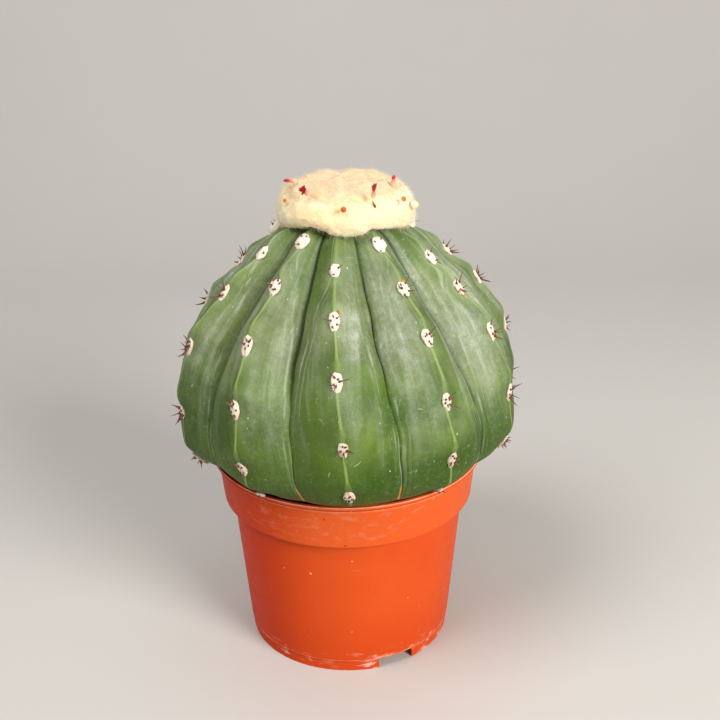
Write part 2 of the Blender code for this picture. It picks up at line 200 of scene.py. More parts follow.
def smooth_values(knots, x):
    """The values at x of a smooth curve through the knots, flat beyond the two ends."""
    px, py = np.array(knots, float).T
    slope = np.gradient(py, px)
    slope[1:-1] = (py[2:] - py[:-2]) / (px[2:] - px[:-2])
    x = np.clip(np.asarray(x, float), px[0], px[-1])
    i = np.clip(np.searchsorted(px, x, side="right") - 1, 0, len(px) - 2)
    span = px[i + 1] - px[i]
    t = (x - px[i]) / span
    return ((2 * t**3 - 3 * t**2 + 1) * py[i] + (t**3 - 2 * t**2 + t) * span * slope[i]
            + (3 * t**2 - 2 * t**3) * py[i + 1] + (t**3 - t**2) * span * slope[i + 1])


def bump(x, middle, width):
    return np.exp(-((x - middle) / width) ** 2)


def ease(x):
    x = np.clip(x, 0.0, 1.0)
    return x * x * (3 - 2 * x)


def from_front(bearing):
    """A bearing between -180 and 180."""
    return (bearing + 180) % 360 - 180


def bearing_point(bearing, radius, height):
    """A point from its bearing in degrees, its radius and its height."""
    angle = math.radians(bearing)
    return Vector((radius * math.sin(angle), -radius * math.cos(angle), height))


def noise_round(bearing, scale, shift, third):
    """Noise that closes on itself round the stem."""
    angle = math.radians(bearing)
    return noise.noise(Vector((math.sin(angle) * scale + shift, math.cos(angle) * scale, third)))


def frame_of(place, along, outwards):
    """The matrix with its Y along a direction and its Z outwards, at a place."""
    z = outwards.normalized()
    x = along.cross(z).normalized()
    return Matrix.Translation(place) @ Matrix((x, z.cross(x), z)).transposed().to_4x4()


def sized(x, y, z):
    return Matrix.Diagonal((x, y, z, 1))


# Pieces

def deselect_all():
    if bpy.context.object and bpy.context.object.mode != "OBJECT":
        bpy.ops.object.mode_set(mode="OBJECT")
    bpy.ops.object.select_all(action="DESELECT")


def select_only(piece):
    deselect_all()
    piece.select_set(True)
    bpy.context.view_layer.objects.active = piece


def take_new(name):
    """The primitive that was just added, under its own name."""
    piece = bpy.context.object
    piece.name = name
    piece.data.name = name
    return piece


def add_ball(name, segments, rings):
    deselect_all()
    bpy.ops.mesh.primitive_uv_sphere_add(segments=segments, ring_count=rings, radius=1.0)
    return take_new(name)


def add_pebble(name, subdivisions):
    deselect_all()
    bpy.ops.mesh.primitive_ico_sphere_add(subdivisions=subdivisions, radius=1.0)
    return take_new(name)


def add_horn(name, sides, tip_radius, cuts):
    """A slim cone along +Z, 1 high, cut into rings at some heights."""
    deselect_all()
    bpy.ops.mesh.primitive_cone_add(vertices=sides, radius1=1.0, radius2=tip_radius, depth=1.0,
                                    location=(0, 0, 0.5))
    horn = take_new(name)
    bpy.ops.object.mode_set(mode="EDIT")
    for height in cuts:
        bpy.ops.mesh.select_all(action="SELECT")
        bpy.ops.mesh.bisect(plane_co=(0, 0, height), plane_no=(0, 0, 1))
    bpy.ops.object.mode_set(mode="OBJECT")
    place_in_mesh(horn)
    return horn


def place_in_mesh(piece):
    """Puts a piece's place into its mesh, so that its object sits at the origin."""
    select_only(piece)
    bpy.ops.object.transform_apply(location=True, rotation=True, scale=True)


def vertices_of(mesh, field="co"):
    places = np.empty(len(mesh.vertices) * 3)
    mesh.vertices.foreach_get(field, places)
    return places.reshape(-1, 3)


def faces_of(mesh):
    return [tuple(face.vertices) for face in mesh.polygons]


def move_vertices(mesh, places):
    mesh.vertices.foreach_set("co", np.asarray(places, float).ravel())
    mesh.update()


def write_attributes(mesh, **attributes):
    """Keeps a number or a vector for each vertex under each name, for a material to read."""
    for name, values in attributes.items():
        values = np.asarray(values, float)
        kind, field = ("FLOAT_VECTOR", "vector") if values.ndim == 2 else ("FLOAT", "value")
        mesh.attributes.new(name, kind, "POINT").data.foreach_set(field, values.ravel())


def new_piece(name, points, faces, **attributes):
    mesh = bpy.data.meshes.new(name)
    mesh.from_pydata(points, [], faces)
    mesh.shade_smooth()
    write_attributes(mesh, **attributes)
    piece = bpy.data.objects.new(name, mesh)
    bpy.context.scene.collection.objects.link(piece)
    return piece


def copies_of(name, template, places, tones):
    """One piece of many copies of a template: places are matrices, and tone is a number for each copy."""
    shape = vertices_of(template.data)
    root_to_tip = (shape[:, 2] - shape[:, 2].min()) / np.ptp(shape[:, 2])
    faces = faces_of(template.data)
    corners = np.c_[shape, np.ones(len(shape))]
    matrices = np.array([np.array(place) for place in places])
    points = np.einsum("nij,vj->nvi", matrices, corners)[:, :, :3].reshape(-1, 3)
    all_faces = [tuple(corner + copy * len(shape) for corner in face)
                 for copy in range(len(places)) for face in faces]
    bpy.data.objects.remove(template)
    return new_piece(name, points.tolist(), all_faces, along=np.tile(root_to_tip, len(places)),
                     tone=np.repeat(tones, len(shape)))


def apply_modifier(piece, name, kind, **settings):
    select_only(piece)
    modifier = piece.modifiers.new(name, kind)
    for key, value in settings.items():
        setattr(modifier, key, value)
    bpy.ops.object.modifier_apply(modifier=name)


def cut_away(piece, cutter):
    apply_modifier(piece, "cut", "BOOLEAN", object=cutter, operation="DIFFERENCE", solver="EXACT")
    bpy.data.objects.remove(cutter)


def finish_piece(piece, material, nodes=()):
    """Gives a finished piece its material and slot, and ties it to the pot and plant."""
    place_in_mesh(piece)
    piece.data.materials.clear()
    piece.data.materials.append(material)
    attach(piece, "root")
    if nodes:
        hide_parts(*nodes)
    return piece


# Nodes

def linear(colour):
    """A colour for a socket, from display values of 0 to 255 in a tuple, or from a setting."""
    if isinstance(colour, tuple):
        colour = [((value / 255 + 0.055) / 1.055) ** 2.4 for value in colour]
    return (*colour, 1.0)


class Value:
    """A node's output: numbers and other outputs are reckoned with it through maths nodes."""

    def __init__(self, tree, socket):
        self.tree = tree
        self.socket = socket

    def maths(self, operation, other=0.0):
        return add_node(self.tree, "Math", {0: self, 1: other}, operation=operation)

    def __add__(self, other):
        return self.maths("ADD", other)

    def __sub__(self, other):
        return self.maths("SUBTRACT", other)

    def __mul__(self, other):
        return self.maths("MULTIPLY", other)

    def __truediv__(self, other):
        return self.maths("DIVIDE", other)

    def __abs__(self):
        return self.maths("ABSOLUTE")

    def clamped(self):
        """The same sum, kept between 0 and 1."""
        self.socket.node.use_clamp = True
        return self

    def remap(self, low, high, to_low=0.0, to_high=1.0):
        """The value taken smoothly from one range to another."""
        inputs = {"Value": self, "From Min": low, "From Max": high, "To Min": to_low, "To Max": to_high}
        return add_node(self.tree, "MapRange", inputs, "Result", interpolation_type="SMOOTHSTEP")

    def near(self, target, outer, inner, most=1.0):
        """A line where the value is near a target: full within the inner distance, none past the outer."""
        return abs(self - target).remap(outer, inner, 0.0, most)

    def beside(self, output):
        """Another output of the same node."""
        return Value(self.tree, self.socket.node.outputs[output])


def add_node(tree, kind, inputs, output=0, **settings):
    """Adds a node and gives one of its outputs."""
    node = tree.nodes.new("ShaderNode" + kind)
    for name, value in settings.items():
        setattr(node, name, value)
    for key, value in inputs.items():
        if isinstance(value, Value):
            tree.links.new(value.socket, node.inputs[key])
        else:
            node.inputs[key].default_value = value
    return Value(tree, node.outputs[output])


def add_noise(tree, place, scale, detail=3.0, roughness=0.55, distortion=0.0):
    inputs = {"Vector": place, "Scale": scale, "Detail": detail, "Roughness": roughness,
              "Distortion": distortion}
    return add_node(tree, "TexNoise", inputs, "Fac")


def mask_group(name, numbers, build):
    """A node group that makes a mask from a place and some numbers: it is built once."""
    if name in bpy.data.node_groups:
        return bpy.data.node_groups[name]
    tree = bpy.data.node_groups.new(name, "ShaderNodeTree")
    tree.interface.new_socket("Vector", in_out="INPUT", socket_type="NodeSocketVector")
    for key, value in numbers.items():
        tree.interface.new_socket(key, in_out="INPUT", socket_type="NodeSocketFloat").default_value = value
    tree.interface.new_socket("Mask", in_out="OUTPUT", socket_type="NodeSocketFloat")
    outputs = tree.nodes.new("NodeGroupInput").outputs
    given = [Value(tree, outputs[key]) for key in ("Vector", *numbers)]
    tree.links.new(build(tree, *given).socket, tree.nodes.new("NodeGroupOutput").inputs["Mask"])
    return tree


def specks_mask(tree, place, per_metre, size, share):
    """Specks and flecks of dust: a share of the cells of a pattern hold one each."""
    warp = add_node(tree, "TexNoise", {"Vector": place, "Scale": 900.0, "Detail": 2.0}, "Color")
    away = add_node(tree, "VectorMath", {0: warp, 1: (0.5, 0.5, 0.5)}, operation="SUBTRACT")
    moved = add_node(tree, "VectorMath", {0: away, "Scale": 0.0012}, operation="SCALE")
    place = add_node(tree, "VectorMath", {0: place, 1: moved}, operation="ADD")
    distance = add_node(tree, "TexVoronoi", {"Vector": place, "Scale": per_metre}, "Distance")
    chance = add_node(tree, "SeparateColor", {0: distance.beside("Color")})
    dot = (distance / (size * (chance.beside(1) + 0.3))).remap(1.0, 0.6)
    return dot * chance.maths("LESS_THAN", share)


def mottle_mask(tree, place, per_metre, contrast):
    """Cloudy changes of tone."""
    return ((add_noise(tree, place, per_metre, 4.0, 0.55, 0.3) - 0.5) * contrast + 0.5).clamped()


class Finish:
    """A material in the making: its shader, the place on the piece, and the colour so far."""

    def __init__(self, name, roughness, **constants):
        self.material = bpy.data.materials.new(name)
        self.material.use_nodes = True
        self.tree = self.material.node_tree
        self.shader = self.tree.nodes["Principled BSDF"]
        self.place = add_node(self.tree, "TexCoord", {}, "Object")
        self.colour = None
        for key, value in {"Roughness": roughness, **constants}.items():
            self.shader.inputs[key.replace("_", " ")].default_value = value

    def attribute(self, name, output="Fac"):
        return add_node(self.tree, "Attribute", {}, output, attribute_name=name)

    def axis(self, name):
        return add_node(self.tree, "SeparateXYZ", {0: self.place}, name)

    def stretched(self, x, y, z):
        return add_node(self.tree, "Mapping", {"Vector": self.place, "Scale": (x, y, z)}, "Vector")

    def noise(self, scale, detail=3.0, roughness=0.55, distortion=0.0, place=None):
        return add_noise(self.tree, place or self.place, scale, detail, roughness, distortion)

    def mottle(self, per_metre, contrast):
        group = mask_group("cloudy mottle", {"Per Metre": 40.0, "Contrast": 2.0}, mottle_mask)
        inputs = {"Vector": self.place, "Per Metre": per_metre, "Contrast": contrast}
        return add_node(self.tree, "Group", inputs, "Mask", node_tree=group)

    def specks(self, per_metre, size, share, place=None):
        group = mask_group("dust specks", {"Per Metre": 300.0, "Size": 0.12, "Share": 0.3}, specks_mask)
        inputs = {"Vector": place or self.place, "Per Metre": per_metre, "Size": size, "Share": share}
        return add_node(self.tree, "Group", inputs, "Mask", node_tree=group)

    def mix(self, share, first, second):
        first, second = (c if isinstance(c, Value) else linear(c) for c in (first, second))
        return add_node(self.tree, "Mix", {0: share, 6: first, 7: second}, 2, data_type="RGBA")

    def paint(self, share, colour):
        """Lays a share of a colour over the colour so far."""
        self.colour = self.mix(share, self.colour, colour)

    def ramp(self, value, *stops):
        """Starts the colour with stops, which are positions and colours."""
        self.colour = add_node(self.tree, "ValToRGB", {"Fac": value}, "Color")
        elements = self.colour.socket.node.color_ramp.elements
        while len(elements) < len(stops):
            elements.new(0.5)
        for element, (position, colour) in zip(elements, stops):
            element.position = position
            element.color = linear(colour)

    def relief(self, height, distance, strength=1.0):
        self.link("Normal", add_node(self.tree, "Bump", {"Height": height, "Distance": distance,
                                                         "Strength": strength}, "Normal"))

    def link(self, key, value):
        self.tree.links.new(value.socket, self.shader.inputs[key])

    def done(self):
        self.link("Base Color", self.colour)
        return self.material


def colour_property(name, description, colour):
    return bpy.props.FloatVectorProperty(name=name, description=description, size=3, subtype="COLOR",
                                         default=linear(colour)[:3])


def number_property(name, description, default, unit="NONE"):
    return bpy.props.FloatProperty(name=name, description=description, default=default, unit=unit)


# Pot

class PotSettings(bpy.types.PropertyGroup):
    wall: number_property("Wall", "Thickness of the plastic", 1.2 * MM, "LENGTH")
    plastic: colour_property("Plastic", "Colour of the plastic", (214, 85, 34))
    plastic_dark: colour_property("Deep Plastic", "Its darker patches", (205, 73, 26))


def pot_material(settings):
    """Satin orange-red moulded plastic with dust, scratches and lime near the foot."""
    finish = Finish("orange pot plastic", 0.4, Specular_IOR_Level=0.05)
    height = finish.axis("Z")
    cloud = finish.mottle(26.0, 1.3)
    finish.colour = finish.mix(cloud, settings.plastic_dark, settings.plastic)
    # Painted light makes the collar and lip paler, the wall deepens towards the foot, and painted shade
    # deepens the left side
    finish.paint(height.remap(BODY_TOP - 1.0 * MM, BODY_TOP + 4.0 * MM, 0.0, 0.6), (224, 98, 44))
    finish.paint(height.remap(0.6 * BODY_TOP, 4.0 * MM, 0.0, 0.6), (200, 66, 20))
    # Painted shade: the left side is a deeper red
    finish.paint(finish.axis("X").remap(-10.0 * MM, -48.0 * MM, 0.0, 0.85), (196, 46, 8))
    # Rubbed, dusty patches on the collar and pale lime near the foot
    rubbed = finish.noise(120.0, 6.0, 0.72, 0.6, finish.stretched(1.0, 1.0, 2.6))
    patches = finish.noise(24.0, 2.0)
    collar = height.remap(COLLAR_BOTTOM - 1.0 * MM, COLLAR_BOTTOM + 6.0 * MM, 0.0, 0.9)
    foot = height.remap(13.0 * MM, 4.0 * MM, 0.0, 1.5) * patches.remap(0.42, 0.56, 0.35, 1.3)
    where = (collar * patches.remap(0.50, 0.60)).maths("MAXIMUM", foot)
    lime = (rubbed.remap(0.52, 0.68) * where).clamped()
    finish.paint(lime * height.remap(13.0 * MM, 6.0 * MM, 0.24, 0.9), (230, 178, 156))
    # Lines at the top of the foot ring and round the lip, where painted light and shade draw the lip's
    # edges
    ring = height.near(FOOT_HEIGHT + 0.5 * MM, 0.5 * MM, 0.1 * MM)
    finish.paint(ring * rubbed.remap(0.35, 0.6, 0.2, 0.7), (240, 150, 110))
    # The lip's pale top edge: partly wear, partly a painted highlight
    edge = height.near(POT_HEIGHT - 0.3 * MM, 0.28 * MM, 0.08 * MM)
    finish.paint(edge * rubbed.remap(0.35, 0.6, 0.25, 0.9), (255, 186, 156))
    # Painted shadow: a dark line under the overhanging lip
    finish.paint(height.near(LIP_BOTTOM - 0.2 * MM, 0.8 * MM, 0.3 * MM, 0.9), (128, 28, 10))
    # Painted highlight: a pale line on the collar's top edge below the lip's painted shadow
    collar_edge_highlight = height.near(LIP_BOTTOM - 1.7 * MM, 0.6 * MM, 0.1 * MM)
    finish.paint(collar_edge_highlight * rubbed.remap(0.35, 0.6, 0.2, 0.6), (248, 150, 112))
    # Fine scratches that run round the wall, pale specks and dark motes
    grain = finish.noise(130.0, 3.0, 0.6, 0.4, finish.stretched(1.0, 1.0, 14.0))
    finish.paint(grain.remap(0.68, 0.76) * cloud.remap(0.4, 0.8) * 0.5, (244, 160, 124))
    finish.paint(finish.specks(170.0, 0.11, 0.3) * 0.75, (248, 200, 176))
    finish.paint(finish.specks(110.0, 0.06, 0.25, finish.stretched(-1.0, 1.3, 1.1)) * 0.8, (120, 45, 28))
    finish.link("Roughness", rubbed.remap(0.35, 0.75, 0.36, 0.5) + lime * 0.3)
    finish.relief(finish.noise(420.0, 2.0) * 0.1 + finish.noise(40.0, 2.0) + lime * 0.4, 0.25 * MM, 0.5)
    return finish.done()


def turn_profile(name, profile, segments):
    """A closed turned shape: a ring is extruded and scaled from point to point of the profile."""
    (radius, height), *others = profile
    deselect_all()
    bpy.ops.mesh.primitive_circle_add(vertices=segments, radius=radius, location=(0, 0, height))
    piece = take_new(name)
    bpy.ops.object.mode_set(mode="EDIT")
    bpy.ops.mesh.select_all(action="SELECT")
    for next_radius, next_height in others:
        bpy.ops.mesh.extrude_edges_move(TRANSFORM_OT_translate={"value": (0, 0, next_height - height)})
        scale = next_radius / radius
        bpy.ops.transform.resize(value=(scale, scale, 1.0), center_override=(0, 0, next_height))
        radius, height = next_radius, next_height
    bpy.ops.mesh.edge_face_add()
    bpy.ops.mesh.select_all(action="DESELECT")
    bpy.ops.mesh.select_non_manifold()
    bpy.ops.mesh.edge_face_add()
    bpy.ops.mesh.select_all(action="SELECT")
    bpy.ops.mesh.normals_make_consistent(inside=False)
    bpy.ops.object.mode_set(mode="OBJECT")
    return piece


def pot_profile(wall):
    """From the middle of the floor inside, over the lip and down the outside, to the middle of the foot."""
    return [
        (FLOOR_MIDDLE_RADIUS, FOOT_HEIGHT + wall),
        (BODY_FOOT_RADIUS - wall, FOOT_HEIGHT + wall),
        (BODY_TOP_RADIUS - wall, BODY_TOP + wall),
        (COLLAR_BOTTOM_RADIUS - wall, COLLAR_BOTTOM + wall),
        (COLLAR_TOP_RADIUS - wall, LIP_BOTTOM - 1.0 * MM),
        (LIP_RADIUS - wall - 0.5 * MM, POT_HEIGHT),
        (LIP_RADIUS, POT_HEIGHT),
        (LIP_RADIUS, LIP_BOTTOM),
        (COLLAR_TOP_RADIUS, LIP_BOTTOM - 0.5 * MM),
        (COLLAR_BOTTOM_RADIUS, COLLAR_BOTTOM),
        (BODY_TOP_RADIUS + 0.4 * MM, BODY_TOP),
        (BODY_TOP_RADIUS - 0.6 * MM, BODY_TOP - 8.0 * MM),
        (BODY_FOOT_RADIUS, FOOT_HEIGHT + 1.0 * MM),
        (BODY_FOOT_RADIUS - 0.2 * MM, FOOT_HEIGHT),
        (FOOT_RADIUS, FOOT_HEIGHT - 0.2 * MM),
        (FOOT_RADIUS, 0.0),
        (FOOT_RADIUS - wall, 0.0),
        (FOOT_RADIUS - wall, FOOT_HEIGHT),
        (FLOOR_MIDDLE_RADIUS, FOOT_HEIGHT),
    ]


class CACTUS_OT_add_pot(bpy.types.Operator):
    """Model the nursery pot, with its collar, foot notches and drain holes"""
    bl_idname = "cactus.add_pot"
    bl_label = "Add Nursery Pot"

    def execute(self, context):
        settings = context.scene.cactus_pot
        pot = turn_profile("plastic_pot", pot_profile(settings.wall), POT_SIDES)
        apply_modifier(pot, "round", "BEVEL", width=EDGE_ROUNDING, segments=3, limit_method="ANGLE",
                       angle_limit=math.radians(25), use_clamp_overlap=True)
        width = 2 * FOOT_RADIUS * math.sin(math.radians(NOTCH_ANGLE / 2))
        for bearing in NOTCH_BEARINGS:
            deselect_all()
            bpy.ops.mesh.primitive_cube_add(
                size=1.0, location=bearing_point(bearing, FOOT_RADIUS, NOTCH_HEIGHT / 2 - 1.0 * MM),
                rotation=(0, 0, math.radians(bearing)), scale=(width, NOTCH_DEPTH, NOTCH_HEIGHT + 2.0 * MM))
            cut_away(pot, take_new("notch_cutter"))
        for number in range(DRAIN_HOLES):
            deselect_all()
            bearing = DRAIN_BEARING + number * 360 / DRAIN_HOLES
            bpy.ops.mesh.primitive_cylinder_add(vertices=24, radius=DRAIN_RADIUS, depth=6.0 * MM,
                                                location=bearing_point(bearing, DRAIN_CIRCLE, FOOT_HEIGHT))
            cut_away(pot, take_new("drain_cutter"))
        pot.data.shade_smooth()
        pot.data.set_sharp_from_angle(angle=math.radians(40))
        finish_piece(pot, pot_material(settings), ["nursery_pot"])
        return DONE


# Soil

def soil_material():
    """Dark moist peat with browner crumbs."""
    finish = Finish("potting soil", 0.95)
    crumbs = finish.noise(420.0, 5.0, 0.7)
    finish.ramp(crumbs, (0.3, (16, 12, 9)), (0.55, (42, 30, 21)), (0.75, (86, 62, 42)))
    finish.relief(crumbs, 0.8 * MM)
    return finish.done()


class CACTUS_OT_add_soil(bpy.types.Operator):
    """Model the soil, with crumbs of bark on it"""
    bl_idname = "cactus.add_soil"
    bl_label = "Add Soil"

    def execute(self, context):
        wall = context.scene.cactus_pot.wall + SOIL_GAP
        rim = COLLAR_BOTTOM_RADIUS - wall
        brim = rim + 1.0 * MM - SEAT_RADIUS
        rings = [(SEAT_RADIUS * share, SOIL_TOP - SEAT_DROP * (1 - share**3))
                 for share in (0.1, 0.4, 0.7, 0.9)]
        rings += [(SEAT_RADIUS + brim * share, SOIL_TOP) for share in (0.0, 0.3, 0.6, 1.0)]
        rings += [(rim - 0.3 * MM, COLLAR_BOTTOM + wall),
                  (BODY_TOP_RADIUS - wall - 0.3 * MM, BODY_TOP + wall),
                  (BODY_FOOT_RADIUS - wall, SOIL_LOW.z), (FLOOR_MIDDLE_RADIUS, SOIL_LOW.z)]
        soil = turn_profile("soil_bed", rings, SOIL_SIDES)
        places = vertices_of(soil.data)
        radius = np.hypot(places[:, 0], places[:, 1])
        for index in np.flatnonzero((places[:, 2] > SOIL_TOP - SEAT_DROP - MM) & (radius < rim - 2 * MM)):
            places[index, 2] += SOIL_LUMPS * noise.noise(Vector(places[index]) * 260)
        move_vertices(soil.data, places)
        soil.data.shade_smooth()
        material = soil_material()
        finish_piece(soil, material, ["potting_soil"])

        chance = random.Random(5)
        crumb = add_pebble("crumb", 1)
        spots = []
        for _ in range(CRUMBS):
            bearing = chance.uniform(0, 360)
            radius = chance.uniform(SEAT_RADIUS - 1.0 * MM, rim - 1.0 * MM)
            spin = Matrix.Rotation(chance.uniform(0, 6.3), 4, "Z")
            tip = Matrix.Rotation(chance.uniform(-0.6, 0.6), 4, "X")
            wide, deep, tall = (chance.uniform(*CRUMB_SIZES) * MM for _ in range(3))
            place = Matrix.Translation(bearing_point(bearing, radius, SOIL_TOP + 0.3 * MM))
            spots.append(place @ (spin @ tip) @ sized(wide, deep, tall * 0.6))
        crumbs = copies_of("soil_crumbs", crumb, spots, [chance.random() for _ in spots])
        finish_piece(crumbs, material)
        return DONE


# Stem

class StemSettings(bpy.types.PropertyGroup):
    low_green: colour_property("Low Green", "Skin of the lower half", (56, 84, 13))
    middle_green: colour_property("Middle Green", "Skin at mid height", (73, 100, 28))
    bloom: colour_property("Bloom", "Pale waxy bloom on the upper half", (181, 184, 172))


def skin_material(settings):
    """Waxy green skin: grey bloom towards the cap, pale growth lines, furrows darkened by painted shade
    high up, and a pale crest.
    """
    finish = Finish("cactus skin", 0.55, Specular_IOR_Level=0.16)
    grain = finish.attribute("grain", "Vector")
    height = finish.attribute("height_share")
    off_crest = finish.attribute("off_crest")
    off_furrow = finish.attribute("off_furrow")
    line_width = finish.attribute("line_width")
    cloud = finish.mottle(34.0, 2.2)
    fine = finish.mottle(210.0, 2.4)
    strands = finish.noise(260.0, 4.0, 0.6, 0.5, grain)
    broad = finish.noise(85.0, 3.0, 0.55, 0.6, grain)
    wavy_height = height + (cloud - 0.5) * 0.16
    finish.ramp(wavy_height, (0.30, (72, 74, 22)), (0.38, (58, 82, 13)), (0.48, settings.low_green),
                (0.60, settings.middle_green), (0.76, (88, 108, 50)), (0.88, (86, 112, 46)))
    finish.paint(fine * 0.5, (46, 74, 16))
    finish.paint(cloud.remap(0.4, 0.85) * height.remap(0.44, 0.60, 0.12, 0.4), (106, 130, 46))
    finish.paint(finish.noise(620.0, 3.0, 0.7).remap(0.5, 0.74, 0.0, 0.26), (128, 156, 84))
    finish.paint(wavy_height.near(0.615, 0.07, 0.0, 0.26) * off_crest.remap(1.0, 8.0), (112, 142, 50))
    # Grey bloom: in soft patches, drawn out along the flanks, and strongest on the upper half
    drawn = broad.remap(0.40, 0.60) * strands.remap(0.3, 0.65, 0.45, 1.1)
    patches = drawn * 0.7 + finish.mottle(95.0, 1.8) * 0.3
    patches = patches * finish.mottle(420.0, 2.4).remap(0.15, 0.85, 0.72, 1.08)
    patches = patches * finish.noise(1500.0, 2.0, 0.7).remap(0.3, 0.7, 0.68, 1.05)
    patches = patches * cloud.remap(0.1, 0.7, 0.5, 1.0)
    upper = height.remap(0.475, 0.73, 0.06, 1.0) * height.remap(0.92, 0.84, 0.85, 1.15)
    share = patches * (finish.attribute("waxy") * upper) * off_crest.remap(0.5, 7.0, 0.55, 1.0)
    share.clamped()
    # Painted shade: the front rib's left flank is darker, as it faces away from the key light
    finish.paint(finish.attribute("deep"), (44, 66, 14))
    finish.paint(share, settings.bloom)
    wobble = (broad - 0.5) * 3.0
    for offset, width, strength in GROWTH_LINES:
        away = abs(abs(finish.attribute("streak") + offset) + wobble)
        line = away.remap(width * 1.6, width * 0.2) * strands.remap(0.42, 0.6)
        finish.paint(line * height.remap(0.42, 0.64, 0.15, 1.0) * strength, (184, 190, 172))
    finish.paint(finish.attribute("halo") * 0.5, (150, 164, 126))
    # The crest line, which is narrow and widens over each areole
    crest = (off_crest / line_width + fine * 0.25).remap(1.25, 0.45)
    crest = crest * line_width.remap(0.7, 1.3, 1.0, 0.5) * height.remap(0.86, 0.76, 0.5, 1.0)
    finish.paint(crest * 0.48, (156, 178, 104))
    # Painted shade darkens the furrows high up; low down they are pale, with a corky line where they reach
    # the soil
    finish.paint(off_furrow.remap(0.8, 0.1, 0.0, 0.6) * height.remap(0.52, 0.66), (30, 50, 22))
    pale = off_furrow.remap(0.9, 0.3, 0.0, 0.8) * height.remap(0.57, 0.50)
    finish.paint(pale * strands.remap(0.3, 0.6, 0.5, 1.0), (160, 168, 142))
    finish.paint(height.remap(0.425, 0.385, 0.0, 0.7) * fine.remap(0.2, 0.8, 0.4, 1.0), (92, 84, 44))
    corky = off_furrow.remap(1.15, 0.55) * height.remap(0.458, 0.438) * height.remap(0.398, 0.415)
    finish.paint(corky, (214, 140, 44))
    # Specks, fine scars and dust
    finish.paint(finish.specks(260.0, 0.1, 0.3) * 0.7, (206, 214, 198))
    scar = finish.noise(75.0, 1.0, 0.5, 0.8).near(0.5, 0.008, 0.002)
    finish.paint(scar * finish.noise(330.0, 1.0).remap(0.62, 0.68) * 0.32, (196, 208, 180))
    finish.paint(finish.specks(900.0, 0.28, 0.2) * 0.24, (170, 190, 150))
    finish.link("Roughness", share.remap(0.0, 0.7, 0.5, 0.64))
    finish.relief(strands * 0.5 + fine * 0.35 + crest * 0.4, 0.35 * MM, 0.6)
    return finish.done()


def rib_turn(angle, lean):
    """How far a rib has turned at a height angle, in degrees."""
    return np.where(angle > RIB_MIDDLE, lean, LOWER_TURN) * (angle - RIB_MIDDLE)


def chin(angle, areoles):
    """How far the crest stands out over its areoles and dips at them."""
    out = np.zeros_like(angle)
    for areole in areoles:
        out += 1.5 * bump(angle, areole + 5.4, 4.0) - 1.0 * bump(angle, areole - 0.5, 3.2)
    return out


def stem_reach(angle, across, areoles, drawn_in=0.0, early=0.0):
    """Distance from the stem's middle to its skin: across is 0 on the crest and 1 in the furrow.

    drawn_in is how much deeper this furrow is, and early is 1 where the flank falls to it early.
    """
    straight = smooth_values(FLANK_STRAIGHTNESS, angle)
    section = straight * across + (1 - straight) * across**4
    reach = smooth_values(CREST_REACH, angle) - smooth_values(FURROW_DEPTH, angle) * section
    reach += chin(angle, areoles) * np.exp(-(across / 0.34) ** 2) * ease((angle + 24) / 10)
    upper = ease((angle - 12) / 22) * ease((80 - angle) / 12)
    start = 0.93 - 0.42 * early
    reach -= drawn_in * upper * np.clip((across - start) / (1 - start), 0, 1) ** 1.35
    return reach - smooth_values(SLIT_DEPTH, angle) * ease((across - SLIT_START) / (1 - SLIT_START))


def slim_share(angle):
    """Where a slimmer rib is slim: above its middle, and less at the cap."""
    return ease((angle - 2) / 26) * ease((80 - angle) / 30)


def stem_places(bearing, lean, angle, reach):
    turned = np.radians(bearing + rib_turn(angle, lean))
    flat = reach * np.cos(np.radians(angle))
    height = STEM_MIDDLE / MM + reach * np.sin(np.radians(angle))
    return np.stack([flat * np.sin(turned), -flat * np.cos(turned), height], axis=-1) * MM


def skin_point(rib, angle, lift=0.0):
    """A point on a rib's crest, lifted off the skin by a length in millimetres."""
    angle = np.array([float(angle)])
    reach = stem_reach(angle, np.zeros(1), rib.areoles) - rib.slimmer * slim_share(angle) + lift
    return Vector(stem_places(rib.bearing, rib.lean, angle, reach)[0])


def waxiness(number, angle, right):
    """How thick the bloom is on a rib: right is 1 on its right flank and 0 on its left one."""
    aside = from_front(RIBS[number].bearing)
    waxy = 0.74 + 0.06 * ease(abs(aside) / 40) + 0.08 * ease((abs(aside) - 40) / 24)
    waxy = (waxy + 0.5 * ease((-aside - 40) / 20)) * np.ones(len(angle))
    if number == FRONT_RIB:
        # Painted shade: the front rib's left flank gets thinner bloom, so it reads darker, as it faces away
        # from the key light
        waxy *= np.where(right, 1.0, 0.4)
        waxy *= 1 + 0.3 * right * ease((angle - 30) / 15)
        waxy *= 1 - 0.6 * ease((angle - 44) / 12)
    elif number == LEFT_RIB:
        waxy *= 1 - 0.25 * right
    elif number == FRONT_LEFT_RIB:
        # Painted shade: the front left rib's right flank gets thinner bloom where the front rib shadows it
        waxy *= np.where(right, 0.7, 1.0)
        waxy *= 1 + 0.8 * right * ease((26 - angle) / 14)
        waxy *= 1 + 0.2 * (1 - right)
    return waxy


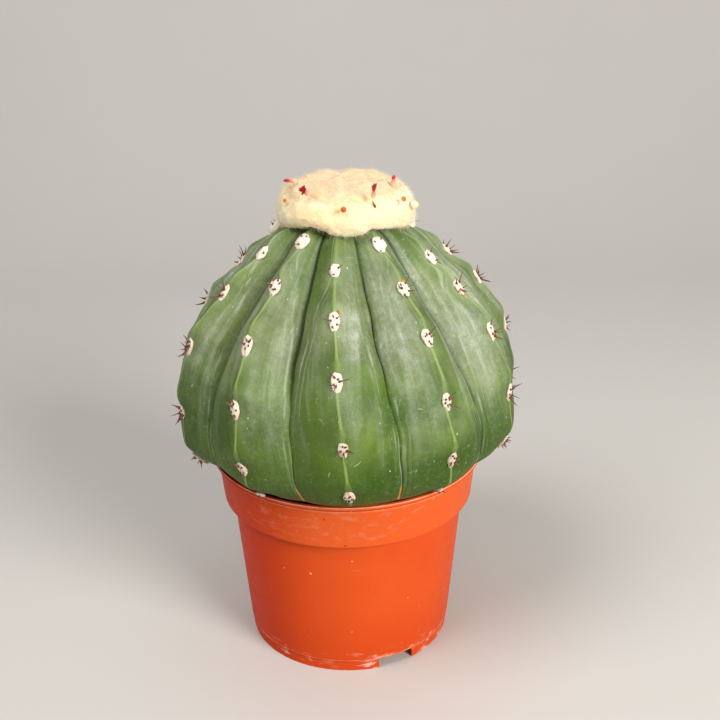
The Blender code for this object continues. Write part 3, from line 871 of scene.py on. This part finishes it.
class CACTUS_OT_add_stem(bpy.types.Operator):
    """Model the ribbed stem from a ball, and mark where its crests, furrows and areoles run"""
    bl_idname = "cactus.add_stem"
    bl_label = "Add Ribbed Stem"

    def execute(self, context):
        flank = STEPS_ACROSS_FLANK
        columns = len(RIBS) * flank * 2
        stem = add_ball("ribbed_stem", columns, STEM_ROWS)
        ball = vertices_of(stem.data)
        turn = np.degrees(np.arctan2(ball[:, 0], -ball[:, 1])) % 360
        column = np.rint(turn / 360 * columns).astype(int) % columns
        row = np.rint((np.degrees(np.arcsin(np.clip(ball[:, 2], -1, 1))) + 90) / 180 * STEM_ROWS)
        angle = smooth_values(ROW_ANGLES, row / STEM_ROWS)

        # Each column's rib, its way across the flank, and its place between two ribs
        before, step = column // (2 * flank), column % (2 * flank)
        on_right = step <= flank
        near = np.where(on_right, step, 2 * flank - step) / flank
        across = 0.45 * near + 0.55 * (1 - np.cos(np.pi * near)) / 2
        share = np.where(on_right, across / 2, 1 - across / 2)
        owner = np.where(on_right, before, (before + 1) % len(RIBS))
        bearings = np.array([rib.bearing for rib in RIBS] + [RIBS[0].bearing + 360])
        leans = np.array([rib.lean for rib in RIBS] + [RIBS[0].lean])
        bearing = bearings[before] + (bearings[before + 1] - bearings[before]) * share
        lean = leans[before] + (leans[before + 1] - leans[before]) * share
        half_rib = CREST_RADIUS * np.cos(np.radians(angle)) * math.radians(180 / len(RIBS))
        off_crest = across * half_rib

        reach, sway, halo, waxy, deep, streak = np.zeros((6, len(ball)))
        line_width = np.full(len(ball), 0.55)
        for number, rib in enumerate(RIBS):
            mine = owner == number
            high, out, right = angle[mine], across[mine], on_right[mine]
            drawn_in = np.where(right, rib.drawn_in, RIBS[number - 1].drawn_in)
            reach[mine] = stem_reach(high, out, rib.areoles, drawn_in, right.astype(float))
            reach[mine] -= rib.slimmer * slim_share(high) * (1 - 0.5 * out)
            pushed = sum(bump(high, areole + 4.0, 4.6) for areole in rib.areoles)
            sway[mine] = np.where(right, 1.0, -1.0) * pushed * bump(out, 1.0, 0.55)
            waxy[mine] = waxiness(number, high, right.astype(float))
            # Painted shade on the front rib's left flank, which faces away from the key light
            if number == FRONT_RIB:
                deep[mine] = (0.55 * (1 - right) * bump(high, 10.0, 17.0) * ease(out / 0.3)
                              * ease((1 - out) / 0.25))
            first = max(rib.areoles)
            path = smooth_values(((-35, 0.97), (0, 0.9), (first - 34, 0.8), (first - 12, 0.52),
                                  (first - 3, 0.16), (first + 8, 0.1)), high)
            streak[mine] = (out - path) * half_rib[mine]
            for areole in rib.areoles:
                up = (high - areole) * AREOLE_RISE
                wider = 0.9 * bump(up, 6.0, 2.2) * (0.4 + 0.6 * (areole < 40)) + 0.3 * bump(up, 3.0, 9.0)
                line_width[mine] += wider
                round_it = bump(np.hypot(off_crest[mine] / 3.6, (up + 1.5) / 6.5), 0.0, 1.0)
                halo[mine] = np.maximum(halo[mine], round_it * ease((areole + 5) / 40))

        # The skin waves and swells a little, and is drawn in under both sides
        soft = ease((75 - angle) / 20) * ease((angle + 30) / 20)
        around = from_front(bearing)
        reach -= 5.4 * bump(np.abs(around), 76.0, 38.0) * ease((-6 - angle) / 14)
        reach -= 3.2 * bump(around, -60.0, 17.0) * ease((-9 - angle) / 8)
        wobble = np.array([noise_round(b, 3, 0, a / 14) for b, a in zip(bearing, angle)])
        bearing = bearing + (0.8 * wobble + 0.7 * sway * ease((66 - angle) / 12)) * soft
        swell = np.array([noise_round(b, 6, 9, a / 20) for b, a in zip(bearing, angle)])
        reach = reach + 0.7 * swell * soft
        move_vertices(stem.data, stem_places(bearing, lean, angle, reach))

        radians = np.radians(bearing)
        radius = CREST_RADIUS * MM
        grain = np.stack([np.sin(radians) * radius, -np.cos(radians) * radius, angle * 0.00016], axis=-1)
        write_attributes(stem.data, grain=grain, height_share=(angle + 90) / 180, off_crest=off_crest,
                         off_furrow=(1 - across) * half_rib, line_width=line_width, halo=halo, waxy=waxy,
                         deep=deep, streak=streak)
        stem.data.shade_smooth()
        finish_piece(stem, skin_material(context.scene.cactus_stem), ["cactus_stem"])
        return DONE


# Areoles

class AreoleSettings(bpy.types.PropertyGroup):
    spine_length: number_property("Spine Length", "Length of a usual spine", 4.6 * MM, "LENGTH")
    spine_radius: number_property("Spine Radius", "Radius of a spine near its root", 0.35 * MM, "LENGTH")


def felt_material():
    """Cream felt of an areole, browner on the old ones."""
    finish = Finish("areole felt", 0.95, Sheen_Weight=0.3, Sheen_Roughness=0.5)
    fibres = finish.noise(1500.0, 3.0, 0.7)
    clumps = finish.noise(520.0, 3.0, 0.6)
    finish.colour = finish.mix(fibres, (232, 214, 192), (253, 241, 226))
    old = finish.mix(clumps, (128, 92, 66), (206, 184, 156))
    finish.paint(finish.attribute("tone") * clumps.remap(0.35, 0.6, 0.4, 1.0), old)
    finish.paint(finish.attribute("spine_root").remap(0.35, 0.75) * 0.85, (86, 40, 26))
    finish.relief(fibres + clumps, 0.3 * MM)
    return finish.done()


def spine_material():
    """Reddish-brown horn, darker at the tip."""
    finish = Finish("spine horn", 0.45)
    shifted = finish.attribute("along") + (finish.noise(900.0, 2.0) - 0.5) * 0.3
    finish.ramp(shifted, (0.0, (88, 42, 28)), (0.35, (146, 84, 54)), (0.65, (86, 48, 40)),
                (1.0, (40, 28, 28)))
    finish.paint(finish.attribute("tone") * 0.75, (52, 30, 26))
    return finish.done()


def nectar_material():
    """Clear amber drops of nectar, their colour mottled."""
    finish = Finish("nectar", 0.18, Subsurface_Weight=0.3, Subsurface_Scale=0.0008)
    finish.colour = finish.mix(finish.noise(900.0, 1.0), (206, 112, 20), (242, 168, 52))
    return finish.done()


def areole_frames():
    """Each areole's matrix, its age from 0 at the cap to 1 at the soil, and its rib and height angle."""
    found = []
    for number, rib in enumerate(RIBS):
        for angle in rib.areoles:
            place = skin_point(rib, angle, 0.1)
            along = skin_point(rib, angle + 1.5) - skin_point(rib, angle - 1.5)
            outwards = place - Vector((0, 0, STEM_MIDDLE))
            outwards -= along.normalized() * outwards.dot(along.normalized())
            age = min(1.0, max(0.0, (68 - angle) / 90))
            found.append((frame_of(place, along, outwards), age, number, angle))
    return found


def pad_size(number, angle, chance):
    """Width, length and thickness of an areole's pad."""
    top = ease((angle - 40) / 25)
    woolly = (number, angle) in WOOLLY_AREOLES
    wide = (2.1 + 0.5 * top + 0.6 * woolly + chance.uniform(-0.2, 0.15)) * MM
    long = (3.8 - 0.4 * top + 0.9 * woolly + chance.uniform(-0.3, 0.3)) * MM
    thick = (1.05 + 0.3 * top + 1.3 * woolly) * MM
    if angle < -15:
        wide, long, thick = 0.75 * wide, 0.6 * long, 0.8 * thick
    size = PAD_SIZES.get((number, angle), 1.0)
    return size * wide, size * long, thick


def pad_points(shape, base, size, feet, top, seed):
    """A lumpy pad's points, and how near each is to a spine's foot, where the felt is pressed in."""
    wide, long, thick = size
    points, roots = [], []
    for x, y, z in shape:
        direction = Vector((x, y, z))
        lump = 1 + 0.2 * noise.noise(direction * 1.7 + seed) + 0.08 * noise.noise(direction * 6 + seed)
        nearest = min((direction - foot.normalized()).length for foot in feet)
        root = max(0.0, 1 - nearest / (0.33 - 0.14 * top))
        tail = 1 + 0.28 * max(0.0, -y) * (1 - top)
        narrow = 1 - 0.25 * max(0.0, -y) ** 2
        points.append(base @ Vector((x * wide * lump * narrow, y * long * lump * tail,
                                     z * thick * (lump - 0.18 * root))))
        roots.append(root)
    return points, roots


def spine_template():
    """A slim horn along +Z that bends towards +Y."""
    horn = add_horn("spine", 6, 0.12, (0.1, 0.3, 0.5, 0.7, 0.88))
    places = vertices_of(horn.data)
    swell = 1 + 0.45 * bump(places[:, 2], 0.0, 0.12)
    places[:, 0] *= swell
    places[:, 1] = places[:, 1] * swell + 1.7 * places[:, 2] ** 2
    move_vertices(horn.data, places)
    return horn


class CACTUS_OT_add_areoles(bpy.types.Operator):
    """Model the felt pads on the crests, the spines that stand in them and the drops of nectar"""
    bl_idname = "cactus.add_areoles"
    bl_label = "Add Areoles and Spines"

    def execute(self, context):
        settings = context.scene.cactus_areoles
        pad = add_pebble("pad", 4)
        shape, pad_faces = vertices_of(pad.data), faces_of(pad.data)
        bpy.data.objects.remove(pad)
        points, faces, ages, roots, spines, tones = [], [], [], [], [], []
        for base, age, number, angle in areole_frames():
            chance = random.Random(number * 100 + round(angle))
            top = ease((angle - 40) / 25)
            wide, long, thick = pad_size(number, angle, chance)
            count = chance.choice((5, 6, 7)) if -15 < angle < 58 else 3
            turns = [math.radians(90 + (k + 0.5) * 360 / count + chance.uniform(-30, 30))
                     for k in range(count)]
            near = [min(0.9, chance.uniform(0.3, 0.75) + 0.2 * top) for _ in turns]
            feet = [Vector((math.cos(t) * n, math.sin(t) * n, math.sqrt(1 - n * n)))
                    for t, n in zip(turns, near)]
            seed = Vector((chance.uniform(0, 90), chance.uniform(0, 90), 0))
            faces += [tuple(corner + len(points) for corner in face) for face in pad_faces]
            more_points, more_roots = pad_points(shape, base, (wide, long, thick), feet, top, seed)
            points += more_points
            roots += more_roots
            ages += [age**1.3 * chance.uniform(0.5, 1.0)] * len(shape)
            lengths = SIDE_SPINES if abs(from_front(RIBS[number].bearing)) > 50 else FRONT_SPINES
            for foot, turn in zip(feet, turns):
                share = max(chance.choice(lengths) * (0.5 if angle > 58 else 1.0), 0.3)
                length = settings.spine_length * share * (1.0 if angle > -5 else 0.6)
                lean = Vector((math.cos(turn), math.sin(turn) * 0.9 + 0.15, chance.uniform(0.3, 0.9)))
                spot = base @ Vector((foot.x * wide, foot.y * long, foot.z * thick))
                out = (base.to_3x3() @ lean).normalized()
                side = base.to_3x3() @ Vector((0, 0, 1))
                thickness = settings.spine_radius * chance.uniform(0.8, 1.1)
                flat = 1.0 + 0.5 * (share > 0.7)
                spines.append(frame_of(spot, side, out) @ sized(thickness, thickness * flat, length))
                tones.append(min(1.0, age * chance.uniform(0.2, 1.0)))
        felt = new_piece("areole_felt", points, faces, tone=ages, spine_root=roots)
        finish_piece(felt, felt_material())
        finish_piece(copies_of("areole_spines", spine_template(), spines, tones), spine_material())

        bases = {(number, RIBS[number].areoles.index(angle)): base
                 for base, _, number, angle in areole_frames()}
        drops = [bases[number, areole] @ Matrix.Translation((x * MM, y * MM, 0.5 * MM))
                 @ Matrix.Scale(size * MM, 4) for number, areole, x, y, size in NECTAR]
        beads = copies_of("nectar_beads", add_ball("bead", 14, 10), drops, [0.5] * len(drops))
        finish_piece(beads, nectar_material())
        return DONE


# Woolly cap

class CapSettings(bpy.types.PropertyGroup):
    fibres: bpy.props.IntProperty(name="Fibres", description="Number of loose fibres on the wool",
                                  default=14000)
    cream: colour_property("Cream", "Colour of the fresh wool", (252, 240, 204))
    warm: colour_property("Warm Cream", "Its warmer patches", (244, 218, 164))
    # The top colour is partly the wool's own peach tint and partly painted shade, as the light comes from
    # the front
    top: colour_property("Top", "Colour of the older wool on the top", (234, 200, 160))


def wool_material(settings):
    """Dense cream wool: warm patches, painted shade in its fold and hollows, and a darker peach top, partly
    painted shade.
    """
    finish = Finish("cap wool", 1.0, Sheen_Weight=0.2, Sheen_Roughness=0.6, Specular_IOR_Level=0.1,
                    Subsurface_Weight=0.5, Subsurface_Scale=0.003)
    fluff = finish.noise(520.0, 5.0, 0.7, 0.8)
    finish.colour = finish.mix(finish.mottle(95.0, 3.0) * 0.8, settings.cream, settings.warm)
    finish.paint(finish.mottle(300.0, 2.6) * 0.22, (236, 200, 150))
    # Darker peach on the top: partly the wool's own tint, partly painted shade
    finish.paint(finish.attribute("top") * 0.85, settings.top)
    # Painted shade in the hollows of the fluff relief
    finish.paint(fluff.remap(0.6, 0.36) * 0.15, (236, 208, 156))
    # Painted shade along the fold's crease
    finish.paint(finish.attribute("fold"), (206, 168, 124))
    finish.relief(fluff, 0.42 * MM)
    return finish.done()


def fibre_material(settings):
    """Single wool fibres, some of them tan."""
    finish = Finish("wool fibres", 1.0, Sheen_Weight=0.3, Specular_IOR_Level=0.15)
    finish.ramp(finish.attribute("tone"), (0.0, (255, 252, 236)), (0.6, (255, 246, 218)),
                (0.93, settings.warm), (1.0, (206, 160, 112)))
    finish.paint(finish.attribute("along") * 0.3, (255, 250, 232))
    # Fibres on the top take its colour: partly tint, partly painted shade
    finish.paint(finish.axis("Z").remap(TOP_COLOUR_START, TOP_COLOUR_END) * 0.6, settings.top)
    return finish.done()


def cap_lumps(point):
    """How far the wool stands out at a point, in metres."""
    big = noise.noise(point * 75 + Vector((3, 1, 7)))
    middle = noise.noise(point * 190 + Vector((8, 2, 4)))
    small = noise.noise(point * 560)
    tiny = noise.noise(point * 1300)
    return (1.1 * big + 0.95 * middle + 0.24 * small + 0.07 * tiny) * MM


class CACTUS_OT_add_cap(bpy.types.Operator):
    """Model the woolly cap from a ball, and lay fibres over it"""
    bl_idname = "cactus.add_cap"
    bl_label = "Add Woolly Cap"

    def execute(self, context):
        settings = context.scene.cactus_cap
        cap = add_ball("wool_cap", CAP_COLUMNS, CAP_ROWS)
        ball = vertices_of(cap.data)
        share = (np.degrees(np.arcsin(np.clip(ball[:, 2], -1, 1))) + 90) / 180
        turn = np.arctan2(ball[:, 0], -ball[:, 1])
        bearing = np.degrees(turn)
        radius = smooth_values([(s, r) for s, r, _ in CAP_OUTLINE], share) * MM
        height = smooth_values([(s, h) for s, _, h in CAP_OUTLINE], share) * MM
        ragged = np.array([noise.noise(Vector((math.sin(t) * 6, math.cos(t) * 6, 4.0))) for t in turn])
        height += MM * (smooth_values(CAP_HEM, bearing) + 0.5 * ragged) * ease((0.45 - share) / 0.2)
        height += MM * ease((share - 0.5) / 0.2) * 0.7 * bump(np.abs(bearing), 140.0, 30.0)
        places = np.stack([CAP_MIDDLE + radius * np.sin(turn), -radius * np.cos(turn), height], axis=-1)
        move_vertices(cap.data, places)
        normals = vertices_of(cap.data, "normal")
        fold = np.zeros(len(places))
        for index, place in enumerate(places):
            point = Vector(place)
            crease = noise.noise(Vector((turn[index] * 2.2, 3.0, 1.0)))
            line = bump(share[index], 0.62 + 0.07 * crease, 0.035)
            line *= ease((math.cos(turn[index]) + 0.4) / 0.8)
            line *= 0.35 + 0.65 * ease(0.5 + 1.5 * noise.noise(point * 120))
            # Painted shade along the crease, where the wool is pressed in
            fold[index] = 0.3 * line
            lumps = cap_lumps(point) * (1.0 if share[index] > 0.2 else 0.3)
            places[index] += normals[index] * (lumps - 0.9 * MM * line)
        move_vertices(cap.data, places)
        write_attributes(cap.data, fold=fold, top=ease((share - 0.58) / 0.12))
        cap.data.shade_smooth()
        finish_piece(cap, wool_material(settings), ["cephalium"])
        self.add_fibres(cap.data, np.c_[radius, height], settings)
        return DONE

    @staticmethod
    def add_fibres(wool, outline, settings):
        """Fibres lie every way on the wool, and hang out from its hem.

        A new ball's faces come in any order, so they are sorted by their vertices. Each one's chance goes
        by its size on the outline, which is the radius and height of each vertex.
        """
        chance = random.Random(23)
        outside = [face for face in wool.polygons if face.center.z > UNDERSIDE_TOP and face.normal.z > -0.8]
        outside.sort(key=lambda face: sorted(face.vertices))
        corners = [outline[sorted(face.vertices)] for face in outside]
        weights = [ring[:, 0].mean() * math.hypot(*np.ptp(ring, axis=0)) for ring in corners]
        spots, tones = [], []
        for face in chance.choices(outside, weights, k=settings.fibres):
            normal = face.normal
            across = normal.cross(Vector((0, 0, 1))).normalized()
            down = normal.cross(across)
            turn = chance.uniform(0, 2 * math.pi)
            flat = across * math.cos(turn) + down * math.sin(turn) * 0.8
            if face.center.z < HEM_TOP:
                flat = (flat - Vector((0, 0, 0.35)) + Vector((normal.x, normal.y, 0)) * 0.6).normalized()
            direction = (flat + normal * chance.uniform(0.0, 0.9)).normalized()
            length = chance.uniform(*FIBRE_LENGTHS) * MM
            radius = chance.uniform(*FIBRE_RADII) * MM
            spots.append(frame_of(face.center - normal * 0.15 * MM, normal, direction)
                         @ sized(radius, radius, length))
            tones.append(chance.random())
        fibre = add_horn("fibre", 3, 0.3, (0.5,))
        places = vertices_of(fibre.data)
        places[:, 1] -= 5.0 * places[:, 2] ** 2
        move_vertices(fibre.data, places)
        finish_piece(copies_of("wool_fibres", fibre, spots, tones), fibre_material(settings))


# Flowers, buds and fruit

def petal_material(name, root, middle, tip):
    """Petals or fruit skin that changes colour from its root to its tip."""
    finish = Finish(name, 0.42, Subsurface_Weight=0.08, Subsurface_Scale=0.001)
    veins = finish.noise(1100.0, 3.0)
    finish.ramp(finish.attribute("along") + (veins - 0.5) * 0.35, (0.08, root), (0.45, middle), (0.95, tip))
    finish.paint(finish.attribute("tone") * 0.6, tip)
    finish.relief(veins, 0.2 * MM)
    return finish.done()


def direction_of(bearing, tilt):
    lean = math.radians(tilt)
    return bearing_point(bearing, math.sin(lean), math.cos(lean))


def seat_of(node, direction):
    """The foot of a flower or bud, on the line through the middle of its node's box."""
    low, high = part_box(node)
    return (low + high) / 2 - direction * ((high - low).length / 2 * 0.6)


def petal_template():
    """A pointed petal along +Z, cupped towards +Y, from a flattened ball."""
    petal = add_ball("petal", 10, 10)
    places = vertices_of(petal.data)
    along = (places[:, 2] + 1) / 2
    belly = smooth_values(((0, 0.5), (0.35, 0.85), (0.65, 1.0), (0.88, 0.7), (1, 0.25)), along)
    places[:, 0] *= belly
    bend = 0.9 * (along - 0.4) ** 2 * (along > 0.4)
    places[:, 1] = places[:, 1] * 0.22 * belly + 0.5 * places[:, 0] ** 2 - bend
    places[:, 2] = along
    move_vertices(petal.data, places)
    return petal


def add_plump_body(name, base, segments, rings, belly, radius, tall, sunk, ribbed=0.0, tone=0.0):
    """A ball drawn out along +Z and set on its seat: belly gives its width by share of its height."""
    body = add_ball(name, segments, rings)
    places = vertices_of(body.data)
    along = (places[:, 2] + 1) / 2
    turn = np.arctan2(places[:, 1], places[:, 0])
    swell = smooth_values(belly, along) * (1 + ribbed * np.cos(5 * turn) * ease((along - 0.4) / 0.5))
    shaped = np.stack([places[:, 0] * swell * radius, places[:, 1] * swell * radius, along * tall - sunk],
                      axis=-1) * MM
    move_vertices(body.data, shaped)
    write_attributes(body.data, along=along, tone=np.full(len(along), tone))
    body.data.transform(base)
    body.data.shade_smooth()
    return body


class CACTUS_OT_add_flowers(bpy.types.Operator):
    """Model the small flowers that stand out of the wool"""
    bl_idname = "cactus.add_flowers"
    bl_label = "Add Flowers"

    def execute(self, context):
        chance = random.Random(31)
        material = petal_material("crimson petals", (226, 72, 86), (216, 32, 66), (146, 16, 42))
        skin = petal_material("flower tube", (248, 216, 180), (244, 168, 140), (220, 64, 84))
        for node, bearing, tilt, count, length, spread, dark, sunk in FLOWERS:
            direction = direction_of(bearing, tilt)
            seat = seat_of(node, direction) - Vector((0, 0, sunk * MM))
            base = frame_of(seat, Vector((0, 0, 1)) if tilt > 30 else Vector((0, 1, 0.3)), direction)
            spots, tones = [], []
            for number in range(count):
                ring = number % 3
                turn = 2 * math.pi * number / count * PETAL_TURN + chance.uniform(-0.3, 0.3)
                lean = spread * (0.4 + 0.45 * ring) * chance.uniform(0.7, 1.3)
                tall = length * (1.0 - 0.14 * ring) * chance.uniform(0.85, 1.1) * MM
                wide = chance.uniform(*PETAL_WIDTHS) * MM
                seated = base @ Matrix.Rotation(turn, 4, "Z") @ Matrix.Translation((0, 0.3 * MM, 1.2 * MM))
                spots.append(seated @ Matrix.Rotation(lean, 4, "X") @ sized(wide, wide, tall))
                tones.append(min(1.0, dark * chance.uniform(0.7, 1.5)))
            petals = copies_of(node + "_petals", petal_template(), spots, tones)
            finish_piece(petals, material, [node])
            belly = ((0, 0.8), (0.3, 1.15), (0.7, 0.85), (1, 0.7))
            tube = add_plump_body(node + "_tube", base, 14, 10, belly, 0.95, 3.6, 1.4)
            finish_piece(tube, skin)
        # A dry brown petal lies on the wool at the front right
        wool = bpy.data.objects["wool_cap"].data
        place = bearing_point(*DRY_PETAL_PLACE)
        nearest = wool.vertices[np.argmin(np.linalg.norm(vertices_of(wool) - place, axis=1))]
        place -= nearest.normal * (place - nearest.co).dot(nearest.normal)
        fallen = frame_of(place + nearest.normal * 0.45 * MM, nearest.normal, Vector((0.45, 0, -1)))
        fallen = fallen @ sized(0.5 * MM, 0.6 * MM, 4.3 * MM) @ Matrix.Translation((0, 0, -0.5))
        dry = copies_of("dry_petal", petal_template(), [fallen], [0.7])
        finish_piece(dry, bpy.data.materials["spine horn"])
        return DONE


class CACTUS_OT_add_buds(bpy.types.Operator):
    """Model the orange buds and the fruit in the wool"""
    bl_idname = "cactus.add_buds"
    bl_label = "Add Buds and Fruit"

    def execute(self, context):
        chance = random.Random(37)
        fruit = petal_material("young fruit", (252, 240, 208), (252, 230, 188), (246, 208, 156))
        skin = petal_material("orange bud", (250, 190, 108), (240, 138, 54), (196, 72, 22))
        for node, bearing, tilt, radius in BUDS:
            direction = direction_of(bearing, tilt)
            base = frame_of(seat_of(node, direction), Vector((0, 0, 1)), direction)
            belly = ((0, 0.9), (0.4, 1.05), (0.8, 0.85), (1, 0.6))
            bud = add_plump_body(node + "_skin", base, 20, 16, belly, radius, 2.0 * radius, 0.5, 0.1,
                                 chance.uniform(0.0, 0.2))
            finish_piece(bud, fruit if node == "fruit_right" else skin, [node])
        return DONE


# Stage

class StageSettings(bpy.types.PropertyGroup):
    key_power: number_property("Key Light", "Power of the light at the front right", 24.0, "POWER")
    fill_power: number_property("Fill Light", "Power of the light at the left", 17.8, "POWER")
    top_power: number_property("Top Light", "Power of the light overhead", 3.0, "POWER")
    sky: number_property("Sky", "Strength of the light from all round", 0.16)
    lens: number_property("Lens", "Focal length of the camera", 55.14, "CAMERA")


def add_area_light(name, place, size, power, colour):
    light = bpy.data.lights.new(name, "AREA")
    light.shape = "DISK"
    light.size = size
    light.energy = power
    light.color = colour
    lamp = bpy.data.objects.new(name, light)
    lamp.location = place
    lamp.rotation_euler = (LIGHT_TARGET - Vector(place)).to_track_quat("-Z", "Y").to_euler()
    bpy.context.scene.collection.objects.link(lamp)


def add_floor():
    """A floor whose far edge sweeps up into a wall."""
    deselect_all()
    bpy.ops.mesh.primitive_plane_add(size=FLOOR_SIZE, location=(0, WALL_DISTANCE - FLOOR_SIZE / 2, 0))
    floor = take_new("floor")
    bpy.ops.object.mode_set(mode="EDIT")
    bpy.ops.mesh.select_all(action="DESELECT")
    bpy.ops.object.mode_set(mode="OBJECT")
    for edge in floor.data.edges:
        edge.select = all(floor.data.vertices[v].co.y > 0 for v in edge.vertices)
    bpy.ops.object.mode_set(mode="EDIT")
    bpy.ops.mesh.select_mode(type="EDGE")
    bpy.ops.mesh.extrude_edges_move(TRANSFORM_OT_translate={"value": (0, 0, WALL_HEIGHT)})
    bpy.ops.object.mode_set(mode="OBJECT")
    place_in_mesh(floor)
    apply_modifier(floor, "sweep", "BEVEL", width=SWEEP_WIDTH, segments=24, limit_method="ANGLE",
                   angle_limit=math.radians(60))
    floor.data.shade_smooth()
    finish = Finish("pale floor", 0.7)
    finish.colour = finish.mix(finish.mottle(2.0, 1.0), (192, 190, 187), (202, 200, 197))
    floor.data.materials.append(finish.done())
    return floor


class CACTUS_OT_add_stage(bpy.types.Operator):
    """Set up the floor, the lights and the camera"""
    bl_idname = "cactus.add_stage"
    bl_label = "Add Stage"

    def execute(self, context):
        scene, settings = context.scene, context.scene.cactus_stage
        floor = add_floor()
        add_area_light("key_light", (0.85, -1.0, 0.74), 0.7, settings.key_power, (1.0, 0.97, 0.92))
        add_area_light("fill_light", (-0.75, -0.65, 1.5), 0.9, settings.fill_power, (1.0, 0.98, 0.95))
        add_area_light("top_light", (0.0, 0.1, 1.5), 1.0, settings.top_power, (1.0, 1.0, 1.0))
        scene.world = bpy.data.worlds.new("studio")
        scene.world.use_nodes = True
        sky = scene.world.node_tree.nodes["Background"].inputs
        sky["Color"].default_value = (1.0, 0.95, 0.85, 1.0)
        sky["Strength"].default_value = settings.sky
        scene.view_settings.view_transform = "Standard"

        camera = bpy.data.objects.new("camera", bpy.data.cameras.new("camera"))
        camera.data.lens = settings.lens
        turn = (Matrix.Rotation(math.radians(-CAMERA_YAW), 4, "Z")
                @ Matrix.Rotation(math.radians(90 - CAMERA_PITCH), 4, "X")
                @ Matrix.Rotation(math.radians(CAMERA_ROLL), 4, "Z"))
        camera.matrix_world = Matrix.Translation(CAMERA_PLACE) @ turn
        scene.collection.objects.link(camera)
        scene.camera = camera
        return DONE


OPERATORS = (CACTUS_OT_add_pot, CACTUS_OT_add_soil, CACTUS_OT_add_stem, CACTUS_OT_add_areoles,
             CACTUS_OT_add_cap, CACTUS_OT_add_flowers, CACTUS_OT_add_buds, CACTUS_OT_add_stage)
SETTINGS = (("cactus_pot", PotSettings), ("cactus_stem", StemSettings), ("cactus_areoles", AreoleSettings),
            ("cactus_cap", CapSettings), ("cactus_stage", StageSettings))


class CACTUS_PT_pieces(bpy.types.Panel):
    """The pieces of the potted cactus"""
    bl_idname = "CACTUS_PT_pieces"
    bl_label = "Potted Cactus"
    bl_space_type = "VIEW_3D"
    bl_region_type = "UI"
    bl_category = "Cactus"

    def draw(self, context):
        for name, group in SETTINGS:
            box = self.layout.box()
            for field in group.__annotations__:
                box.prop(getattr(context.scene, name), field)
        for operator in OPERATORS:
            self.layout.operator(operator.bl_idname)


def register():
    for name, group in SETTINGS:
        bpy.utils.register_class(group)
        setattr(bpy.types.Scene, name, bpy.props.PointerProperty(type=group))
    for operator in OPERATORS:
        bpy.utils.register_class(operator)
    bpy.utils.register_class(CACTUS_PT_pieces)


def unregister():
    bpy.utils.unregister_class(CACTUS_PT_pieces)
    for operator in reversed(OPERATORS):
        bpy.utils.unregister_class(operator)
    for name, group in reversed(SETTINGS):
        delattr(bpy.types.Scene, name)
        bpy.utils.unregister_class(group)


def main():
    register()
    bpy.ops.cactus.add_pot()
    bpy.ops.cactus.add_soil()
    bpy.ops.cactus.add_stem()
    bpy.ops.cactus.add_areoles()
    bpy.ops.cactus.add_cap()
    bpy.ops.cactus.add_flowers()
    bpy.ops.cactus.add_buds()
    bpy.ops.cactus.add_stage()


if __name__ == "__main__":
    main()
